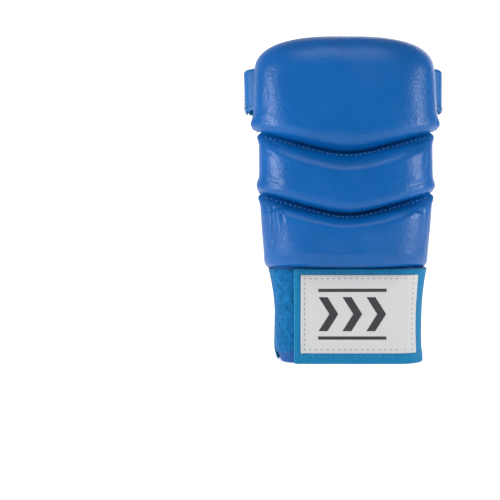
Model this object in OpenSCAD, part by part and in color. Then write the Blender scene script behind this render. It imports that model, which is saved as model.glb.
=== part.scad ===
// Open-palm grappling glove for the left hand, standing on its cuff.
// +Z runs from the wrist to the fingertips, -Y is the padded back, +X is the thumb side.
// The origin is the centre of the wrist opening, at the height of the cuff's lower edge.

/* [Cuff] */
// Height of the wide elastic wrist band
cuff_h = 70; // [56:1:84]
// Width of the wrist opening, side to side
wrist_width = 100; // [88:1:120]
// Depth of the wrist opening, back to palm
wrist_depth = 40; // [34:1:50]
// Radius of the wrist opening's corners
wrist_corner = 15; // [12:1:17]
// Height of the leather left bare under the loop tape
panel_hem = 8; // [5:1:12]
// How far the closing flap reaches past the middle, to the little-finger side
flap_reach = 38; // [34:1:49]
// Width of the sewn label
label_w = 81; // [60:1:84]
// Height of the sewn label
label_h = 57; // [40:1:64]

/* [Pads] */
// Height of the whole glove
glove_h = 243; // [225:1:290]
// Width across the finger pad
finger_pad_w = 136; // [130:1:162]
// Width across the knuckle pad
knuckle_pad_w = 129; // [108:1:130]
// Width across the hand pad
hand_pad_w = 128; // [108:1:130]
// Thickness of the padding at its crown
pad_t = 20; // [14:0.5:26]
// Height of the finger pad, from its seam at the sides to its tip
finger_pad_h = 71; // [60:1:86]
// Height of the knuckle pad, between its two seams
knuckle_pad_h = 45; // [38:1:54]
// How far both seams dip in the middle
seam_dip = 17; // [8:1:20]
// How far the fingertip end curls towards the palm
curl = 24; // [10:1:30]

/* [Straps] */
// Width of the elastic that makes the finger loops
loop_elastic_w = 30; // [22:1:34]
// Width of the elastic palm strap
palm_elastic_w = 32; // [24:1:36]
// How far the finger loops stand off the facing
loop_rise = 27; // [20:1:32]
// How far the palm strap stands off the lining
palm_rise = 30; // [22:1:36]

/* [Thicknesses] */
// Thickness of the outer leather
leather_t = 1.5; // [1:0.1:2]
// Thickness of the suede lining
suede_t = 1.3; // [1:0.1:2]
// Thickness of every elastic
elastic_t = 1.8; // [1.2:0.1:2.4]
// Thickness of the hook tape and of the loop tape
tape_t = 1.4; // [1:0.1:2]
// Thickness of the label
label_t = 0.6; // [0.4:0.1:1]
// Thickness of the sewing thread
thread_t = 0.8; // [0.5:0.1:1.2]

/* [Hidden] */
gap = 0.3; // clearance between sheets that lie on each other
seam_gap = 0.8; // open line between two pads at a quilted seam
edge_t = 4; // thickness of a pad's sewn rim
rim_inset = 1.5; // the linings stop this far inside the covers' outlines
seam_corner = 3; // how far a pad's corners draw back from a seam
seam_power = 1.5; // shape of the dipping seams: 1 is a V, 2 is a parabola
top_drop = 29; // height of the finger pad's rounded upper corners
top_power = 2.8; // and their shape: 2 is an ellipse
wrist_taper = 4; // how much each side of the hand pad narrows at the wrist
wrap_wrist = 22; // how far the sides wrap forward at the wrist
wrap_top = 12; // and at the fingers
wrap_fade = 80; // height over which the one becomes the other
wrap_k = 0.95; // roundness of the wrap, under 1
side_power = 4; // fullness of the padding across the pads
dome_power = 0.46; // steepness of the padding at its rim
stitch_l = 2.6; // length of one stitch
stitch_step = 5; // distance from one stitch to the next

// Heights that follow from the driving sizes.
pad_foot = cuff_h + 2;
finger_seam_z = glove_h - finger_pad_h;
knuckle_seam_z = finger_seam_z - knuckle_pad_h;
palm_z = (finger_seam_z + knuckle_seam_z) / 2 - 5;
loop_z = finger_seam_z + loop_elastic_w / 2 + 16;
facing_z = finger_seam_z + 9;
facing_drop = 4;

// Offsets of the cuff's layers from the wrist opening, outwards.
panel_d = 0;
tape_d = panel_d + leather_t + gap;
hook_d = tape_d + tape_t + gap;
band_d = hook_d + tape_t + gap;
label_d = band_d + elastic_t;
lining_d = band_d - gap - suede_t;
outer_x = wrist_width / 2 + label_d;
outer_y = wrist_depth / 2 + label_d;

// Where the cuff's layers start and stop. The flap folds at hinge_y on the thumb side.
hinge_y = -4;
fold_gap = 0.4;
band_seam_y = -2;
panel_end_y = 6;
tape_end_x = 36;
hook_reach = 12;
tape_lip = 1;

FINGER_W = finger_pad_w / 2;
BIG = 400;
ACROSS = 16;
UP = 8;
LINING_UP = 5;

BLUE = [0.0, 0.38, 0.68];
CYAN = [0.02, 0.56, 0.76];
GREY = [0.71, 0.74, 0.74];
DARK = [0.2, 0.21, 0.23];
NAVY = [0.05, 0.3, 0.58];
WHITE = [0.87, 0.87, 0.87];
THREAD = [0.45, 0.62, 0.8];

// ---------- the sewn surface, where the covers' rims and the linings meet ----------

function share_up(z) = max(0, (z - pad_foot) / (glove_h - pad_foot));
function lean(z) = -wrist_depth / 2 - leather_t + curl * pow(share_up(z), 2);
function lean_angle(z) = atan(2 * curl * share_up(z) / (glove_h - pad_foot));
function wrap(z) = wrap_top
    + (wrap_wrist - wrap_top) * pow(1 - min(1, max(0, z - pad_foot) / wrap_fade), 2);
function bow(t) = (1 - sqrt(1 - pow(wrap_k * t, 2))) / (1 - sqrt(1 - pow(wrap_k, 2)));
function back_y(x, z) = lean(z) + wrap(z) * bow(min(1, abs(x) / FINGER_W));

// ---------- outlines of the pads, seen from the back ----------

function dip(x) = seam_dip * (1 - pow(min(1, abs(x) / FINGER_W), seam_power));
function corner(x, w) = seam_corner * pow(min(1, abs(x) / w), 12);
function finger_seam(x) = finger_seam_z - dip(x);
function knuckle_seam(x) = knuckle_seam_z - dip(x);
function finger_top(x) = glove_h - top_drop
    + top_drop * pow(max(0, 1 - pow(abs(x) / FINGER_W, top_power)), 1 / top_power);
function facing_foot(x) = facing_z - facing_drop * pow(abs(x) / FINGER_W, 2);

// Each pad is a row: half width, taper at its foot, fullness of its ends, foot line, head line.
hand_w = hand_pad_w / 2;
knuckle_w = knuckle_pad_w / 2;
HAND = [hand_w, wrist_taper, 4,
    function(x) pad_foot + corner(x, hand_w),
    function(x) knuckle_seam(x) - seam_gap / 2 - corner(x, hand_w)];
KNUCKLE = [knuckle_w, 0, 4,
    function(x) knuckle_seam(x) + seam_gap / 2 + corner(x, knuckle_w),
    function(x) finger_seam(x) - seam_gap / 2 - corner(x, knuckle_w)];
FINGER = [FINGER_W, 0, 8,
    function(x) finger_seam(x) + seam_gap / 2 + corner(x, FINGER_W),
    function(x) finger_top(x)];
// The finger section's inside is two sheets, the suede lining and the leather facing above it.
LINED = [FINGER_W, 0, 0, FINGER[3], function(x) facing_foot(x) - gap + rim_inset];
FACED = [FINGER_W, 0, 0, function(x) facing_foot(x) - rim_inset, FINGER[4]];

// Padding thickness at [x, z] inside a pad's outline.
function swell(u, fullness) = pow(max(0, 1 - pow(min(1, abs(u)), fullness)), dome_power);
function padding(pad, x, z) =
    let (foot = pad[3](x), head = pad[4](x))
    let (v = (z - foot) / (head - foot))
    let (t = x / (pad[0] - pad[1] * (1 - v)))
    edge_t + (pad_t - edge_t) * swell(t, side_power) * swell(2 * v - 1, pad[2]);

// ---------- grids of points ----------

function across(n) = [for (i = [0:n]) sin(-90 + 180 * i / n)];
function upward(n) = [for (j = [0:n]) (1 - cos(180 * j / n)) / 2];

// The place [x, z] of share t across and share v up a pad, kept inset from its outline.
function place(pad, t, v, inset) =
    let (edge_x = t * (pad[0] - pad[1] * (1 - v)))
    let (foot = pad[3](edge_x) + inset, head = pad[4](edge_x) - inset)
    [edge_x - t * inset, foot + (head - foot) * v];

function flat_grid(pad, inset, depth, up) =
    [for (v = upward(up)) [for (t = across(ACROSS))
        let (p = place(pad, t, v, inset))
        [p[0], back_y(p[0], p[1]) - depth, p[1]]]];

function dome_grid(pad, inset) =
    [for (v = upward(UP)) [for (t = across(ACROSS))
        let (p = place(pad, t, v, inset))
        [p[0], back_y(p[0], p[1]) - padding(pad, p[0], p[1]) + inset, p[1]]]];

function flatten(grid) = [for (row = grid) each row];

// Cells of a grid whose first point has number base, turned to face -Y or +Y.
function cells(base, rows, cols, towards_back) =
    [for (j = [0:rows - 2], i = [0:cols - 2])
        let (a = base + j * cols + i)
        let (b = a + 1, c = a + cols + 1, d = a + cols)
        each towards_back ? [[a, d, c], [a, c, b]] : [[a, b, c], [a, c, d]]];

// Numbers of a grid's border points, in order around it.
function border(rows, cols) = concat(
    [for (i = [0:cols - 2]) i],
    [for (j = [0:rows - 2]) j * cols + cols - 1],
    [for (i = [cols - 1:-1:1]) (rows - 1) * cols + i],
    [for (j = [rows - 1:-1:1]) j * cols]);

// A wall between two closed rings of point numbers.
function wall(a, b) =
    [for (k = [0:len(a) - 1])
        let (m = (k + 1) % len(a))
        each [[a[k], a[m], b[m]], [a[k], b[m], b[k]]]];

function shifted(numbers, by) = [for (n = numbers) n + by];

// ---------- closed solids from grids ----------

// The solid between a front grid, on the -Y side, and a rear grid of the same size.
module slab(front, rear) {
    rows = len(front);
    cols = len(front[0]);
    count = rows * cols;
    ring = border(rows, cols);
    polyhedron(
        points = concat(flatten(front), flatten(rear)),
        faces = concat(
            cells(0, rows, cols, true),
            cells(count, rows, cols, false),
            wall(ring, shifted(ring, count))),
        convexity = 6);
}

// A dished shell: outer and inner domes, joined by a rim that lies on the sewn surface.
module dish(outer, inner, outer_foot, inner_foot) {
    rows = len(outer);
    cols = len(outer[0]);
    count = rows * cols;
    ring = border(rows, cols);
    size = len(ring);
    outer_rim = [for (k = [0:size - 1]) 2 * count + k];
    inner_rim = shifted(outer_rim, size);
    feet = flatten(outer_foot);
    inner_feet = flatten(inner_foot);
    polyhedron(
        points = concat(flatten(outer), flatten(inner),
            [for (k = ring) feet[k]], [for (k = ring) inner_feet[k]]),
        faces = concat(
            cells(0, rows, cols, true),
            cells(count, rows, cols, false),
            wall(ring, outer_rim),
            wall(outer_rim, inner_rim),
            wall(inner_rim, shifted(ring, count))),
        convexity = 6);
}

module pad_cover(pad) {
    color(BLUE) dish(
        dome_grid(pad, 0), dome_grid(pad, leather_t),
        flat_grid(pad, 0, 0, UP), flat_grid(pad, leather_t, 0, UP));
}

module pad_foam(pad) {
    inset = leather_t + 3 * gap;
    color(DARK) slab(dome_grid(pad, inset), flat_grid(pad, inset, 0, UP));
}

module lining(pad, thickness, shade) {
    color(shade) slab(
        flat_grid(pad, rim_inset, -gap, LINING_UP),
        flat_grid(pad, rim_inset, -gap - thickness, LINING_UP));
}

// ---------- ribbons: flat bands that follow a path seen from the fingertips ----------

function curve_point(a, b, c, d, s) =
    0.5 * (2 * b + (c - a) * s + (2 * a - 5 * b + 4 * c - d) * s * s
        + (3 * b - a - 3 * c + d) * s * s * s);

// A smooth line through the points of a path, with n steps between neighbours.
function smooth(path, n) =
    let (last = len(path) - 1)
    concat(
        [for (i = [0:last - 1], k = [0:n - 1])
            curve_point(path[max(0, i - 1)], path[i], path[i + 1], path[min(last, i + 2)], k / n)],
        [path[last]]);

function heading(path, i) =
    let (a = path[max(0, i - 1)], b = path[min(len(path) - 1, i + 1)])
    (b - a) / norm(b - a);

// The path moved sideways: to its left for a positive distance.
function beside(path, distance) =
    [for (i = [0:len(path) - 1])
        let (h = heading(path, i))
        path[i] + distance * [-h[1], h[0]]];

function reversed(list) = [for (i = [len(list) - 1:-1:0]) list[i]];
function mirrored(path) = [for (p = path) [-p[0], p[1]]];

// A band of that height, between two distances beside the path.
module ribbon(path, low, high, height) {
    linear_extrude(height = height, center = true)
        polygon(concat(beside(path, low), reversed(beside(path, high))));
}

// Puts a piece drawn at the middle of the sewn surface at height z, leaning as the glove does.
module leaning(z) {
    translate([0, lean(z), z])
        rotate([-lean_angle(z), 0, 0])
            children();
}

// Distance from the leaning plane to the hand side of a sheet of that thickness, at x.
function floor_at(x, z, thickness) = wrap(z) * bow(min(1, abs(x) / FINGER_W)) + gap + thickness;

// ---------- finger loops ----------

// Places of the sewn valleys, from the little finger to the index finger.
loop_pitch = finger_pad_w * 0.235;
VALLEYS = [-1.16 * loop_pitch, -0.16 * loop_pitch, 0.86 * loop_pitch];
tab_flare = 5;
tab_rise = 13;
tab_x = FINGER_W + tab_flare;
tab_foot_y = floor_at(FINGER_W, loop_z, leather_t) + gap + leather_t;
tab_top_y = tab_foot_y + tab_rise;

// The leather tab outside each end of the finger elastic, from the pad's rim up to its turn.
TAB_PATH = smooth([
    [FINGER_W - 7, floor_at(FINGER_W - 7, loop_z, leather_t) + gap + leather_t / 2],
    [FINGER_W - 1, tab_foot_y],
    [FINGER_W + tab_flare * 0.65, tab_foot_y + tab_rise * 0.26],
    [tab_x, tab_foot_y + tab_rise * 0.6],
    [tab_x - 0.5, tab_top_y]], 3);
INSIDE_TAB = beside(TAB_PATH, gap + (leather_t + elastic_t) / 2);

function valley_y(x) = floor_at(x, loop_z, leather_t) + gap + elastic_t / 2;

// One finger's loop between two valleys: up, over and down, with sides a little overhung.
function loop_over(a, b) =
    let (mid = (a + b) / 2, half = (b - a) / 2, low = (valley_y(a) + valley_y(b)) / 2)
    [[a, valley_y(a)],
     [a + 0.42 * half, low + 0.13 * loop_rise],
     [a + 0.42 * half, low + 0.5 * loop_rise],
     [mid - 0.36 * half, low + 0.92 * loop_rise],
     [mid + 0.36 * half, low + 0.92 * loop_rise],
     [b - 0.42 * half, low + 0.5 * loop_rise],
     [b - 0.42 * half, low + 0.13 * loop_rise]];

// An end loop runs up inside its tab and over to the nearest valley.
function end_loop(valley) =
    let (low = valley_y(valley), start = INSIDE_TAB[len(INSIDE_TAB) - 1])
    let (span = start[0] - valley)
    concat(
        [for (i = [3:len(INSIDE_TAB) - 1]) INSIDE_TAB[i]],
        smooth([
            [start[0] - 2, start[1] + 2.5],
            [valley + 0.6 * span, low + 1.02 * loop_rise],
            [valley + 0.28 * span, low + 0.62 * loop_rise],
            [valley + 0.2 * span, low + 0.15 * loop_rise]], 3));

LOOP_PATH = concat(
    mirrored(end_loop(-VALLEYS[0])),
    smooth(concat(
        loop_over(VALLEYS[0], VALLEYS[1]),
        loop_over(VALLEYS[1], VALLEYS[2]),
        [[VALLEYS[2], valley_y(VALLEYS[2])]]), 3),
    reversed(end_loop(VALLEYS[2])));

module finger_loop_elastic() {
    color(CYAN) leaning(loop_z)
        ribbon(LOOP_PATH, -elastic_t / 2, elastic_t / 2, loop_elastic_w);
}

module loop_tab(path) {
    color(BLUE) leaning(loop_z)
        ribbon(path, -leather_t / 2, leather_t / 2, loop_elastic_w + 2);
}

// ---------- palm strap ----------

strap_end_x = knuckle_w - 16;
strap_sag = 4;
tab_lap = 12;
function strap_y(x) = palm_rise - strap_sag * pow(x / strap_end_x, 2);
STRAP_PATH = [for (k = [-8:8]) [strap_end_x * k / 8, strap_y(strap_end_x * k / 8)]];

// Each tab leaves the knuckle pad's rim, turns outside the hand and lies on the strap's end.
// It keeps tab_bed clear of the lining, which bows up a little under the tab's ends.
tab_bed = 1.4;
palm_tab_y = floor_at(knuckle_w - 2, palm_z, suede_t) + tab_bed + leather_t / 2;
lap_rise = gap + (elastic_t + leather_t) / 2;
function lap_point(x) = [x, strap_y(x) + lap_rise];
PALM_TAB_PATH = smooth([
    [knuckle_w - 9, floor_at(knuckle_w - 9, palm_z, suede_t) + tab_bed + leather_t / 2],
    [knuckle_w - 2.5, palm_tab_y],
    [knuckle_w + 1.5, palm_tab_y + 4],
    [knuckle_w - 2, (palm_tab_y + strap_y(strap_end_x)) / 2 + 3],
    lap_point(strap_end_x + 3),
    lap_point(strap_end_x - tab_lap / 2),
    lap_point(strap_end_x - tab_lap)], 3);

module palm_strap() {
    color(CYAN) leaning(palm_z)
        ribbon(STRAP_PATH, -elastic_t / 2, elastic_t / 2, palm_elastic_w);
}

module palm_tab(path) {
    color(BLUE) leaning(palm_z)
        ribbon(path, -leather_t / 2, leather_t / 2, palm_elastic_w + 2);
}

// ---------- cuff ----------

module rounded(d) {
    x = wrist_width / 2 + d;
    y = wrist_depth / 2 + d;
    r = wrist_corner + d;
    square([2 * x, 2 * (y - r)], center = true);
    square([2 * (x - r), 2 * y], center = true);
    for (sx = [-1, 1], sy = [-1, 1])
        translate([sx * (x - r), sy * (y - r)]) circle(r = r, $fn = 64);
}

module layer(d, thickness) {
    difference() {
        rounded(d + thickness);
        rounded(d);
    }
}

// Parts of the cuff's plan: a box from low to high corner.
module area(low, high) {
    translate(low) square(high - low);
}

module wrist_panel() {
    color(NAVY) linear_extrude(pad_foot - gap)
        intersection() {
            layer(panel_d, leather_t);
            area([-BIG, -BIG], [BIG, panel_end_y]);
        }
}

module loop_tape() {
    color(CYAN) translate([0, 0, panel_hem]) linear_extrude(cuff_h - tape_lip - panel_hem)
        intersection() {
            layer(tape_d, tape_t);
            union() {
                area([-BIG, -BIG], [tape_end_x, 0]);
                area([-BIG, -BIG], [0, panel_end_y]);
            }
        }
}

module palm_band() {
    color(CYAN) linear_extrude(cuff_h)
        intersection() {
            layer(band_d, elastic_t);
            union() {
                area([-BIG, band_seam_y], [0, BIG]);
                area([0, hinge_y + fold_gap], [BIG, BIG]);
            }
        }
}

module band_lining() {
    color(NAVY) linear_extrude(cuff_h)
        intersection() {
            layer(lining_d, suede_t);
            union() {
                area([-BIG, band_seam_y], [0, BIG]);
                area([0, hinge_y + fold_gap + 2], [BIG, BIG]);
            }
        }
}

module flap_elastic() {
    color(CYAN) linear_extrude(cuff_h)
        intersection() {
            layer(band_d, elastic_t);
            area([-flap_reach, -BIG], [BIG, hinge_y - fold_gap]);
        }
}

module hook_tape() {
    color(NAVY) translate([0, 0, panel_hem]) linear_extrude(cuff_h - tape_lip - panel_hem)
        intersection() {
            layer(hook_d, tape_t);
            area([-flap_reach + 1, -BIG], [hook_reach, 0]);
        }
}

label_x = -flap_reach + 3;
label_z = (cuff_h - label_h) / 2;

module label_patch() {
    color(WHITE) translate([0, 0, label_z]) linear_extrude(label_h)
        intersection() {
            layer(label_d, label_t);
            area([label_x, -BIG], [label_x + label_w, 0]);
        }
}

// A plain woven design: three chevrons between two bars.
print_t = 0.3;
bar_h = 4;
module label_print() {
    width = min(48, label_w * 0.6);
    height = label_h * 0.42;
    chevron = width / 4;
    mid_z = cuff_h / 2;
    x0 = -width / 2;
    color(DARK) translate([0, -outer_y - label_t, 0]) rotate([90, 0, 0])
        linear_extrude(print_t) {
            for (k = [0:2])
                translate([x0 + k * chevron * 1.4, mid_z])
                    polygon([
                        [0, -height / 2], [chevron * 0.55, -height / 2], [chevron * 1.2, 0],
                        [chevron * 0.55, height / 2], [0, height / 2], [chevron * 0.65, 0]]);
            for (side = [-1, 1])
                translate([0, mid_z + side * (height / 2 + bar_h)])
                    square([width, bar_h * 0.6], center = true);
        }
}

// ---------- stitches ----------

module stitch(length) {
    cube([length, thread_t, thread_t], center = true);
}

// A row of stitches along X at a cuff layer's flat back.
module back_row(x0, x1, z, y) {
    count = floor((x1 - x0) / stitch_step);
    for (k = [0:count])
        translate([x0 + (x1 - x0) * k / count, y - thread_t / 2, z]) stitch(stitch_l);
}

module back_column(x, z0, z1, y) {
    count = floor((z1 - z0) / stitch_step);
    for (k = [0:count])
        translate([x, y - thread_t / 2, z0 + (z1 - z0) * k / count])
            rotate([0, 90, 0]) stitch(stitch_l);
}

flat_x = wrist_width / 2 - wrist_corner;

module label_stitches() {
    inset = 2.5;
    y = -outer_y - label_t;
    color(THREAD) {
        for (z = [label_z + inset, label_z + label_h - inset])
            back_row(label_x + inset + 4, flat_x - 2, z, y);
        back_column(label_x + inset, label_z + inset + 1, label_z + label_h - inset - 1, y);
    }
}

module flap_hem_stitches() {
    color(THREAD) for (z = [2.5, cuff_h - 2.5])
        back_row(-flap_reach + 3, flat_x - 2, z, -outer_y);
}

// The row that sews the palm band to the wrist panel, on the little-finger side.
module band_stitches() {
    count = floor((cuff_h - 8) / stitch_step);
    color(THREAD) for (k = [0:count])
        translate([-outer_x - thread_t / 2, band_seam_y + 3, 4 + (cuff_h - 8) * k / count])
            cube([thread_t, thread_t, stitch_l], center = true);
}

// A row along a dipping seam, on the hand side of the lining just below it.
module seam_row(pad, line) {
    reach = pad[0] - 10;
    count = floor(2 * reach / stitch_step);
    below = seam_gap / 2 + rim_inset + 2;
    color(THREAD) for (k = [0:count])
        let (x = -reach + 2 * reach * k / count)
        let (z = line(x) - below)
        translate([x, back_y(x, z) + gap + suede_t + thread_t * 0.8, z])
            rotate([0, 0, atan2(back_y(x + 1, z) - back_y(x - 1, z), 2)])
                rotate([0, -atan2(line(x + 1) - line(x - 1), 2), 0])
                    stitch(stitch_l);
}

module palm_tab_stitches() {
    seat = lap_point(strap_end_x - tab_lap + 3);
    count = floor((palm_elastic_w - 6) / stitch_step);
    color(THREAD) leaning(palm_z)
        for (side = [-1, 1], k = [0:count])
            translate([side * seat[0], seat[1] + leather_t / 2 + thread_t,
                    (palm_elastic_w - 6) * (k / count - 0.5)])
                rotate([0, 90, 0]) stitch(stitch_l);
}

module loop_tab_stitches() {
    seat = tab_foot_y + tab_rise * 0.6;
    count = floor((loop_elastic_w - 6) / stitch_step);
    color(THREAD) leaning(loop_z)
        for (side = [-1, 1], k = [0:count])
            translate([side * (tab_x + (leather_t + thread_t) / 2), seat,
                    (loop_elastic_w - 6) * (k / count - 0.5)])
                cube([thread_t, thread_t, stitch_l], center = true);
}

// Bar tacks that hold the valleys of the finger elastic down.
tack_l = 5;
module loop_bar_tacks() {
    color(THREAD) leaning(loop_z)
        for (x = VALLEYS, z = [-1, 1] * (loop_elastic_w / 2 - tack_l))
            translate([x, valley_y(x) + elastic_t / 2 + 1.1 * thread_t, z])
                cube([thread_t, thread_t, tack_l], center = true);
}

// ---------- piping between the suede lining and the facing ----------

piping_r = 1;
module finger_piping() {
    steps = 20;
    sides = 6;
    reach = FINGER_W - rim_inset - 3;
    ring_points = [for (k = [0:steps])
        let (x = reach * sin(-90 + 180 * k / steps))
        let (z = facing_foot(x))
        let (y = back_y(x, z) + 2 * gap + leather_t + piping_r)
        for (s = [0:sides - 1]) [x, y + piping_r * cos(360 * s / sides), z + piping_r * sin(360 * s / sides)]];
    color(GREY) polyhedron(
        points = ring_points,
        faces = concat(
            [[for (s = [sides - 1:-1:0]) s]],
            [[for (s = [0:sides - 1]) steps * sides + s]],
            [for (k = [0:steps - 1], s = [0:sides - 1])
                let (a = k * sides + s, b = k * sides + (s + 1) % sides)
                each [[a, b, b + sides], [a, b + sides, a + sides]]]),
        convexity = 6);
}

pad_cover(HAND);  // hand_pad_cover
pad_foam(HAND);  // hand_pad_foam
lining(HAND, suede_t, GREY);  // hand_lining
wrist_panel();
loop_tape();
palm_band();
band_lining();
band_stitches();
pad_cover(KNUCKLE);  // knuckle_pad_cover
pad_foam(KNUCKLE);  // knuckle_pad_foam
lining(KNUCKLE, suede_t, GREY);  // knuckle_lining
palm_strap();
palm_tab(PALM_TAB_PATH);  // palm_tab_thumb_side
palm_tab(mirrored(PALM_TAB_PATH));  // palm_tab_little_side
palm_tab_stitches();
seam_row(KNUCKLE, function(x) finger_seam(x));  // knuckle_seam_stitches
seam_row(HAND, function(x) knuckle_seam(x));  // hand_seam_stitches
pad_cover(FINGER);  // finger_pad_cover
pad_foam(FINGER);  // finger_pad_foam
lining(LINED, suede_t, GREY);  // finger_lining
lining(FACED, leather_t, BLUE);  // finger_facing
finger_piping();
finger_loop_elastic();
loop_tab(TAB_PATH);  // loop_tab_index
loop_tab(mirrored(TAB_PATH));  // loop_tab_little
loop_tab_stitches();
loop_bar_tacks();
flap_elastic();
hook_tape();
label_patch();
label_print();
label_stitches();
flap_hem_stitches();
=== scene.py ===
# %% [markdown]
# # A padded grappling glove, standing on its cuff
# A grappling glove is mostly soft goods: leather over foam on the back of the hand, suede inside,
# and elastic wherever it has to grip. Each of those pieces is built here in the same order as a
# maker would sew them, around a working frame of plain solids that is already in place.
#
# Soft pieces can be made by simulation, by sculpting or by formula. Formulas win here: every seam
# and fold is a number that can be read and changed, and neighbouring pieces share the same lines,
# so that they always meet.

# %% Load the frame
import math

import bmesh
import bpy
import numpy as np
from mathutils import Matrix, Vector


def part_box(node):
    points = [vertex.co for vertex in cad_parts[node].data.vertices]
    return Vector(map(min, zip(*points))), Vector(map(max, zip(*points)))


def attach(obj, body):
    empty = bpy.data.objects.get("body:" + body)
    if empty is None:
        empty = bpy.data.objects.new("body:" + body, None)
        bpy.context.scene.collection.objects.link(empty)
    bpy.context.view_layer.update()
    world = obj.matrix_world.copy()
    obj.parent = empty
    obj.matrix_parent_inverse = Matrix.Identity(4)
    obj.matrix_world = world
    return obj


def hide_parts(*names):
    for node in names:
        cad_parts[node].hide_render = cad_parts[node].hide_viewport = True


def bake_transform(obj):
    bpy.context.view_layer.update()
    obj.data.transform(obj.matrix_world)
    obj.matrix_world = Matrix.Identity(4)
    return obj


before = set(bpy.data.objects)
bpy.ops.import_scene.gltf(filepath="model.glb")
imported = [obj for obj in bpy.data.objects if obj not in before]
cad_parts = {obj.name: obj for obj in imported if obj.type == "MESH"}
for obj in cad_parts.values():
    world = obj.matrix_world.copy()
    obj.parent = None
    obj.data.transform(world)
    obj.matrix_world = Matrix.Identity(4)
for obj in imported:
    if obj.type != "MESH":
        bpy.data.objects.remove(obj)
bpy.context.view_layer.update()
MM = 0.001

# %% [markdown]
# ## Reading sizes from the frame
# The frame's solids give the true sizes, so they are measured and never typed again. `reach` reads
# the lowest and highest corner of one solid in millimetres, which suit a glove better than metres.

# %% Measure the frame
def reach(node):
    low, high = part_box(node)
    return np.array(low) / MM, np.array(high) / MM


GLOVE_TOP = reach("finger_pad_cover")[1][2]
FINGER_HALF = reach("finger_pad_cover")[1][0]
KNUCKLE_HALF = reach("knuckle_pad_cover")[1][0]
HAND_HALF = reach("hand_pad_cover")[1][0]
PAD_FOOT = reach("hand_pad_cover")[0][2]
CUFF_H = reach("flap_elastic")[1][2]
BACK_Y = reach("wrist_panel")[0][1]
SEAM_DIP = 17.0
FINGER_SEAM = reach("finger_pad_cover")[0][2] + SEAM_DIP
KNUCKLE_SEAM = reach("knuckle_pad_cover")[0][2] + SEAM_DIP
CURL = 24.0
print("glove", GLOVE_TOP, "mm tall; seams at", FINGER_SEAM, "and", KNUCKLE_SEAM)

# %% [markdown]
# ## The sewn surface
# All three pads are stitched down to one curved sheet that follows the back of the hand: it curls
# towards the palm near the fingertips and wraps forward at the sides. One function gives its depth
# at any place, and everything sewn to it, inside or outside, starts from there.

# %% The sheet that every pad is sewn to
WRAP_WRIST, WRAP_TOP, WRAP_FADE, WRAP_K = 22.0, 12.0, 80.0, 0.95


def height_share(z):
    return np.clip((z - PAD_FOOT) / (GLOVE_TOP - PAD_FOOT), 0, None)


def lean(z):
    return BACK_Y + CURL * height_share(z) ** 2


def wrap(z):
    fade = 1 - np.clip((z - PAD_FOOT) / WRAP_FADE, 0, 1)
    return WRAP_TOP + (WRAP_WRIST - WRAP_TOP) * fade**2


def bow(t):
    return (1 - np.sqrt(1 - (WRAP_K * t) ** 2)) / (1 - math.sqrt(1 - WRAP_K**2))


def sewn_y(x, z):
    return lean(z) + wrap(z) * bow(np.clip(np.abs(x) / FINGER_HALF, 0, 1))


def seam_z(side_height, x):
    """Height of a quilted seam: straight towards its ends and rounded in the middle."""
    bend = 0.23
    share = np.abs(x) / FINGER_HALF
    climb = (np.sqrt(share ** 2 + bend ** 2) - bend) / (math.sqrt(1 + bend ** 2) - bend)
    return side_height - SEAM_DIP * (1 - np.minimum(1, climb))


TOP_DROP, TOP_POWER = 29.0, 2.8


def finger_top(x):
    t = np.clip(np.abs(x) / FINGER_HALF, 0, 1)
    return GLOVE_TOP - TOP_DROP + TOP_DROP * (1 - t**TOP_POWER) ** (1 / TOP_POWER)


# %% [markdown]
# ## Turning grids into closed pieces
# Leather, suede and elastic are all sheets with a thickness. Each is made as two grids of points,
# a front and a rear, joined by a rim. The rim gets one extra row pushed outwards, so that a cut
# edge reads as soft and round and not as a knife edge.

# %% Faces and border of a grid
def grid_faces(first, rows, cols, flip):
    index = first + np.arange(rows * cols).reshape(rows, cols)
    a, b = index[:-1, :-1].ravel(), index[:-1, 1:].ravel()
    c, d = index[1:, 1:].ravel(), index[1:, :-1].ravel()
    order = (a, d, c, b) if flip else (a, b, c, d)
    return np.stack(order, 1).tolist()


def border(rows, cols):
    foot = [(0, i) for i in range(cols - 1)]
    right = [(j, cols - 1) for j in range(rows - 1)]
    head = [(rows - 1, i) for i in range(cols - 1, 0, -1)]
    left = [(j, 0) for j in range(rows - 1, 0, -1)]
    return foot + right + head + left


# %% From points to an object
def new_piece(name, points, faces, material, uv=None):
    """A mesh object from points in millimetres. uv holds one pair of millimetres for each point."""
    mesh = bpy.data.meshes.new(name)
    mesh.from_pydata((np.asarray(points, float) * MM).tolist(), [], faces)
    bm = bmesh.new()
    bm.from_mesh(mesh)
    bmesh.ops.recalc_face_normals(bm, faces=bm.faces)
    bm.to_mesh(mesh)
    bm.free()
    mesh.shade_smooth()
    if uv is not None:
        layer = mesh.uv_layers.new(name="weave")
        corner_points = np.zeros(len(mesh.loops), int)
        mesh.loops.foreach_get("vertex_index", corner_points)
        layer.data.foreach_set("uv", (np.asarray(uv, float)[corner_points] * MM).ravel())
    mesh.materials.append(material)
    piece = bpy.data.objects.new(name, mesh)
    bpy.context.scene.collection.objects.link(piece)
    return piece


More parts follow.
